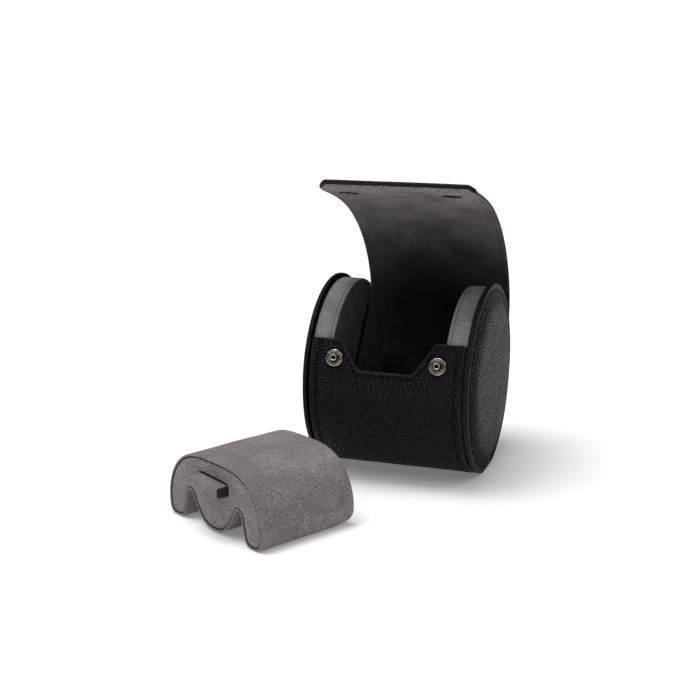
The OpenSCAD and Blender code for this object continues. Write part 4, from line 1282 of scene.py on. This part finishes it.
def build_cushion():
    n = len(OUT)
    per = np.r_[0, np.cumsum(np.linalg.norm(np.diff(OUT, axis=0), axis=1))]
    # cover: from the seam inside the near rim, over the rolled rim, along, and back in
    rr = 0.6
    rows = []
    rows.append((2.0, 2.2))
    rows.append((1.2, 1.75))
    for a in np.linspace(180, 90, 8):
        rows.append((rr + rr * math.cos(a * DEG) + 0.0, rr - rr * math.sin(a * DEG)))
    prof = [(1.25, 2.2), (1.22, 1.6)]
    prof += [(rr - rr * math.sin(a * DEG), rr - rr * math.cos(a * DEG)) for a in np.linspace(-60, 90, 12)][::1]
    # (inset, v)
    near = [(1.22, 2.4), (1.2, 1.2)] + [(rr - rr * math.cos(a * DEG), rr - rr * math.sin(a * DEG)) for a in np.linspace(150, 0, 12)]
    near = [(d, v) for d, v in near]
    mid = [(0.0, v) for v in np.linspace(rr + 0.9, CL - rr - 0.9, 44)]
    far = [(d, CL - v) for d, v in near[::-1]]
    prof = near + mid + far
    V, UVv = [], []
    vv = 0
    prev = None
    for d, v in prof:
        X = inset(d)
        # slight belly along the length, shallow drape between the ends
        t = (v - CL / 2) / (CL / 2)
        belly = 0.35 * (1 - t * t) * smoothstep(6, 26, OUT[:, 1]) + 0.10 * np.sin(OUT[:, 0] * 0.22 + v * 0.21) * (1 - t * t) * smoothstep(14, 30, OUT[:, 1])
        X = X + ON * belly[:, None] * 0.6
        X[:, 1] = np.maximum(X[:, 1], 0.0 + d * 0.2)
        X = far_corner(X, v)
        V.append(c2w(X[:, 0], v, X[:, 1]))
        if prev is not None:
            vv += math.hypot(d - prev[0], v - prev[1])
        prev = (d, v)
        UVv.append(np.stack([np.full(n, vv), per], -1))
    V = np.array(V)
    UVv = np.array(UVv)
    # duplicate the seam column so the texture closes
    V = np.concatenate([V, V[:, :1]], 1)
    last = UVv[:, :1].copy()
    last[:, :, 1] = per[-1] + np.linalg.norm(OUT[0] - OUT[-1])
    UVv = np.concatenate([UVv, last], 1)
    cover = make("cushion_suede_cover", V.reshape(-1, 3), grid_faces(len(prof), n + 1), [M_SUEDE_C], uv=UVv.reshape(-1, 2),
                 body="cushion", slot="cushion_suede", replaces=("cushion_cover", "cushion_core"))
    # end panels, crowned between their seam and their middle
    for tag, v0, dr in (("near", 0.0, 1.0), ("far", CL, -1.0)):
        ds = np.array([1.24, 1.26, 1.42, 1.75, 2.3, 3.2, 4.4])
        Vp, Up = [], []
        hgt = np.array([2.2, 1.2, 0.74, 0.48, 0.28, 0.14, 0.06])
        for d, h in zip(ds, hgt):
            X = inset(d, smooth=int(d * 2))
            X[:, 1] = np.maximum(X[:, 1], 0.3 + 0.3 * d)
            X = far_corner(X, v0)
            Vp.append(c2w(X[:, 0], v0 + dr * h, X[:, 1]))
            Up.append(X)
        X = inset(ds[-1], smooth=int(ds[-1] * 2))
        X[:, 1] = np.maximum(X[:, 1], 0.3 + 0.3 * ds[-1])
        nb = len(ds)
        Vp = np.array(Vp).reshape(-1, 3)
        Up = np.array(Up).reshape(-1, 2)
        F = grid_faces(nb, n, close_c=True, flip=(dr < 0))
        X = far_corner(X, v0)
        # fill the middle with a triangulated polygon
        import mathutils.geometry as mg
        poly = [Vector((float(p[0]), float(p[1]), 0)) for p in X]
        tris = mg.tessellate_polygon([poly])
        off = (nb - 1) * n
        for t in tris:
            q = (off + t[0], off + t[1], off + t[2])
            a, b, c = [X[i] for i in t]
            area = (b[0] - a[0]) * (c[1] - a[1]) - (b[1] - a[1]) * (c[0] - a[0])
            if (area > 0) != (dr > 0):
                q = q[::-1]
            F.append(q)
        o = make("cushion_end_panel_" + tag, Vp, F, [M_SUEDE_C], uv=Up, body="cushion", slot="cushion_suede", replaces=("cushion_end_" + tag,))
        # tab: a stiff covered bar, thicker at its root, leaning slightly
        def tab_w(u, v, w):
            yy = v if dr > 0 else CL - v
            root = np.clip((v + 6.0) / 6.0, 0, 1)
            uu = u if dr > 0 else -u
            zz = 24.0 + (w - 24.0) * (0.93 + 0.25 * root) - 0.042 * uu + 0.2
            return c2w(u, yy, zz)
        V, Fb = rounded_box(-11.25, 11.25, -6.0, 3.0, 21.5, 26.5, 0.55, 4)
        Vw = tab_w(V[:, 0], V[:, 1], V[:, 2])
        fmt = [1 if min(abs(V[i, 0]) for i in f) > 10.85 else 0 for f in Fb]
        if dr < 0:
            Fb = [f[::-1] for f in Fb]
        uvt = np.stack([V[:, 0] + V[:, 1] * 0.3, V[:, 2] + V[:, 1]], -1)
        ob = make("cushion_tab_block_" + tag, Vw, Fb, [M_SUEDE_C, M_SUEDE_E], fm=fmt, uv=uvt, body="cushion", slot="cushion_suede", replaces=("cushion_tab_" + tag,))
        # the slit the bar comes out of: a narrow near-black frame of painted shadow, wider above and at the right end
        nf = 72
        th = np.linspace(0, 2 * math.pi, nf, endpoint=False)

        def box_ring(hx0, hx1, hz0, hz1, q=7.0):
            c, s_ = np.cos(th), np.sin(th)
            k = (np.abs(c) ** q + np.abs(s_) ** q) ** (-1 / q)
            return np.where(c > 0, hx1, hx0) * np.abs(c) * k * np.sign(c), 24.0 + np.where(s_ > 0, hz1, hz0) * s_ * k
        rows = []
        for (gx0, gx1, gz0, gz1, vv_) in ((-0.5, -0.5, -0.5, -0.5, 0.9), (-0.5, -0.5, -0.5, -0.5, -0.03), (0.10, 0.80, 0.06, 0.95, -0.05), (0.14, 0.90, 0.10, 1.05, 0.25)):
            xr, zr = box_ring(11.2 + gx0, 11.2 + gx1, 2.45 + gz0 * 0.85, 2.45 + gz1 * 0.85)
            if dr < 0:
                xr = -xr
            rows.append(tab_w(xr, np.full(nf, vv_), zr))
        gap = make("cushion_tab_slit_" + tag, np.array(rows).reshape(-1, 3), grid_faces(4, nf, close_c=True), [M_SEAM_AND_PAINTED_SHADE],
                   uv=np.zeros((4 * nf, 2)), body="cushion", slot="cushion_suede")
        # seam thread between cover and panel
        bag = Bag()
        Xs = inset(1.38, smooth=1)
        Xs[:, 1] = np.maximum(Xs[:, 1], 0.35)
        Xs = far_corner(Xs, v0)
        Pw = c2w(Xs[:, 0], v0 + dr * 0.42, Xs[:, 1])
        tg = np.roll(Pw, -1, 0) - np.roll(Pw, 1, 0)
        tg /= np.linalg.norm(tg, axis=1)[:, None]
        fwd = np.array([-math.sin(YAW), math.cos(YAW), 0.0])
        sd = np.cross(tg, fwd)
        ang = np.linspace(0, 2 * math.pi, 8, endpoint=False)
        rad = 0.20 + 0.03 * np.sin(np.arange(n) * 2 * math.pi * 70 / n)
        Vt = Pw[:, None, :] + rad[:, None, None] * (np.cos(ang)[None, :, None] * fwd + np.sin(ang)[None, :, None] * sd[:, None, :])
        bag.add(Vt, grid_faces(n, 8, close_c=True, close_r=True), 0)
        bag.make("cushion_seam_" + tag, [M_SEAM_AND_PAINTED_SHADE], body="cushion", slot="cushion_suede")


build_cushion()

# CAD nodes that stay, with better materials
for name, m in (("cap_board_left", M_BOARD), ("cap_board_right", M_BOARD)):
    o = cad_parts[name]
    o = o if hasattr(o, "data") else bpy.data.objects[name]
    for i in range(len(o.material_slots)):
        o.material_slots[i].material = m

# ------------------------------------------------------------------ floor, light, camera
WORLD = 0.03
bpy.ops.mesh.primitive_plane_add(size=120, location=(0, 0, 0))
floor = bpy.context.object
floor.name = "floor"
fm, nt, b = new_mat("floor_white")
b.inputs["Base Color"].default_value = (0.9, 0.9, 0.905, 1)
b.inputs["Roughness"].default_value = 0.7
b.inputs["Specular IOR Level"].default_value = 0.05
b.inputs["Emission Color"].default_value = (1, 1, 1, 1)
b.inputs["Emission Strength"].default_value = 0.16
floor.data.materials.append(fm)

world = bpy.data.worlds.new("studio")
bpy.context.scene.world = world
world.use_nodes = True
wn = world.node_tree
bg = wn.nodes["Background"]
tc = wn.nodes.new("ShaderNodeTexCoord")
sp = wn.nodes.new("ShaderNodeSeparateXYZ")
wn.links.new(tc.outputs["Generated"], sp.inputs[0])
mr = wn.nodes.new("ShaderNodeMapRange")
mr.interpolation_type = "SMOOTHSTEP"
for i, x in enumerate((0.03, 0.22, 0.45, WORLD)):
    mr.inputs[i + 1].default_value = x
wn.links.new(sp.outputs[2], mr.inputs[0])
cb = wn.nodes.new("ShaderNodeCombineColor")
for i in range(3):
    wn.links.new(mr.outputs[0], cb.inputs[i])
wn.links.new(cb.outputs[0], bg.inputs[0])
bg.inputs[1].default_value = 1.0


def sun(name, az, el, power, angle):
    """az: where the light stands, degrees from -Y (front) towards +X"""
    l = bpy.data.lights.new(name, "SUN")
    l.energy = power
    l.angle = angle * DEG
    o = bpy.data.objects.new(name, l)
    bpy.context.scene.collection.objects.link(o)
    p = Vector((math.sin(az * DEG) * math.cos(el * DEG), -math.cos(az * DEG) * math.cos(el * DEG), math.sin(el * DEG)))
    o.location = p * 2
    o.rotation_euler = (-p).to_track_quat("-Z", "Y").to_euler()
    return o


sun("key", -95, 76, 2.10, 36)
sun("top", 0, 86, 0.38, 80)
sun("front_left", -60, 50, 0.68, 40)
sun("low_left", -40, 15, 0.22, 25)
sun("side", 90, 45, 0.62, 40)

cam = bpy.data.cameras.new("camera")
co = bpy.data.objects.new("camera", cam)
bpy.context.scene.collection.objects.link(co)
right = Vector((0.95028397, 0.3113846, 0.0))
up = Vector((-0.08155113, 0.24887785, 0.96509545))
back = Vector((0.30051586, -0.91711474, 0.2618984))
pos = Vector((0.204158, -0.726986, 0.216575 + 0.049))
mw = Matrix((
    (right.x, up.x, back.x, pos.x),
    (right.y, up.y, back.y, pos.y),
    (right.z, up.z, back.z, pos.z),
    (0, 0, 0, 1)))
co.matrix_world = mw
cam.sensor_width = 36
cam.lens = 1468.43 / 700 * 36
cam.clip_start = 0.01
bpy.context.scene.camera = co
bpy.context.scene.view_settings.view_transform = "Standard"
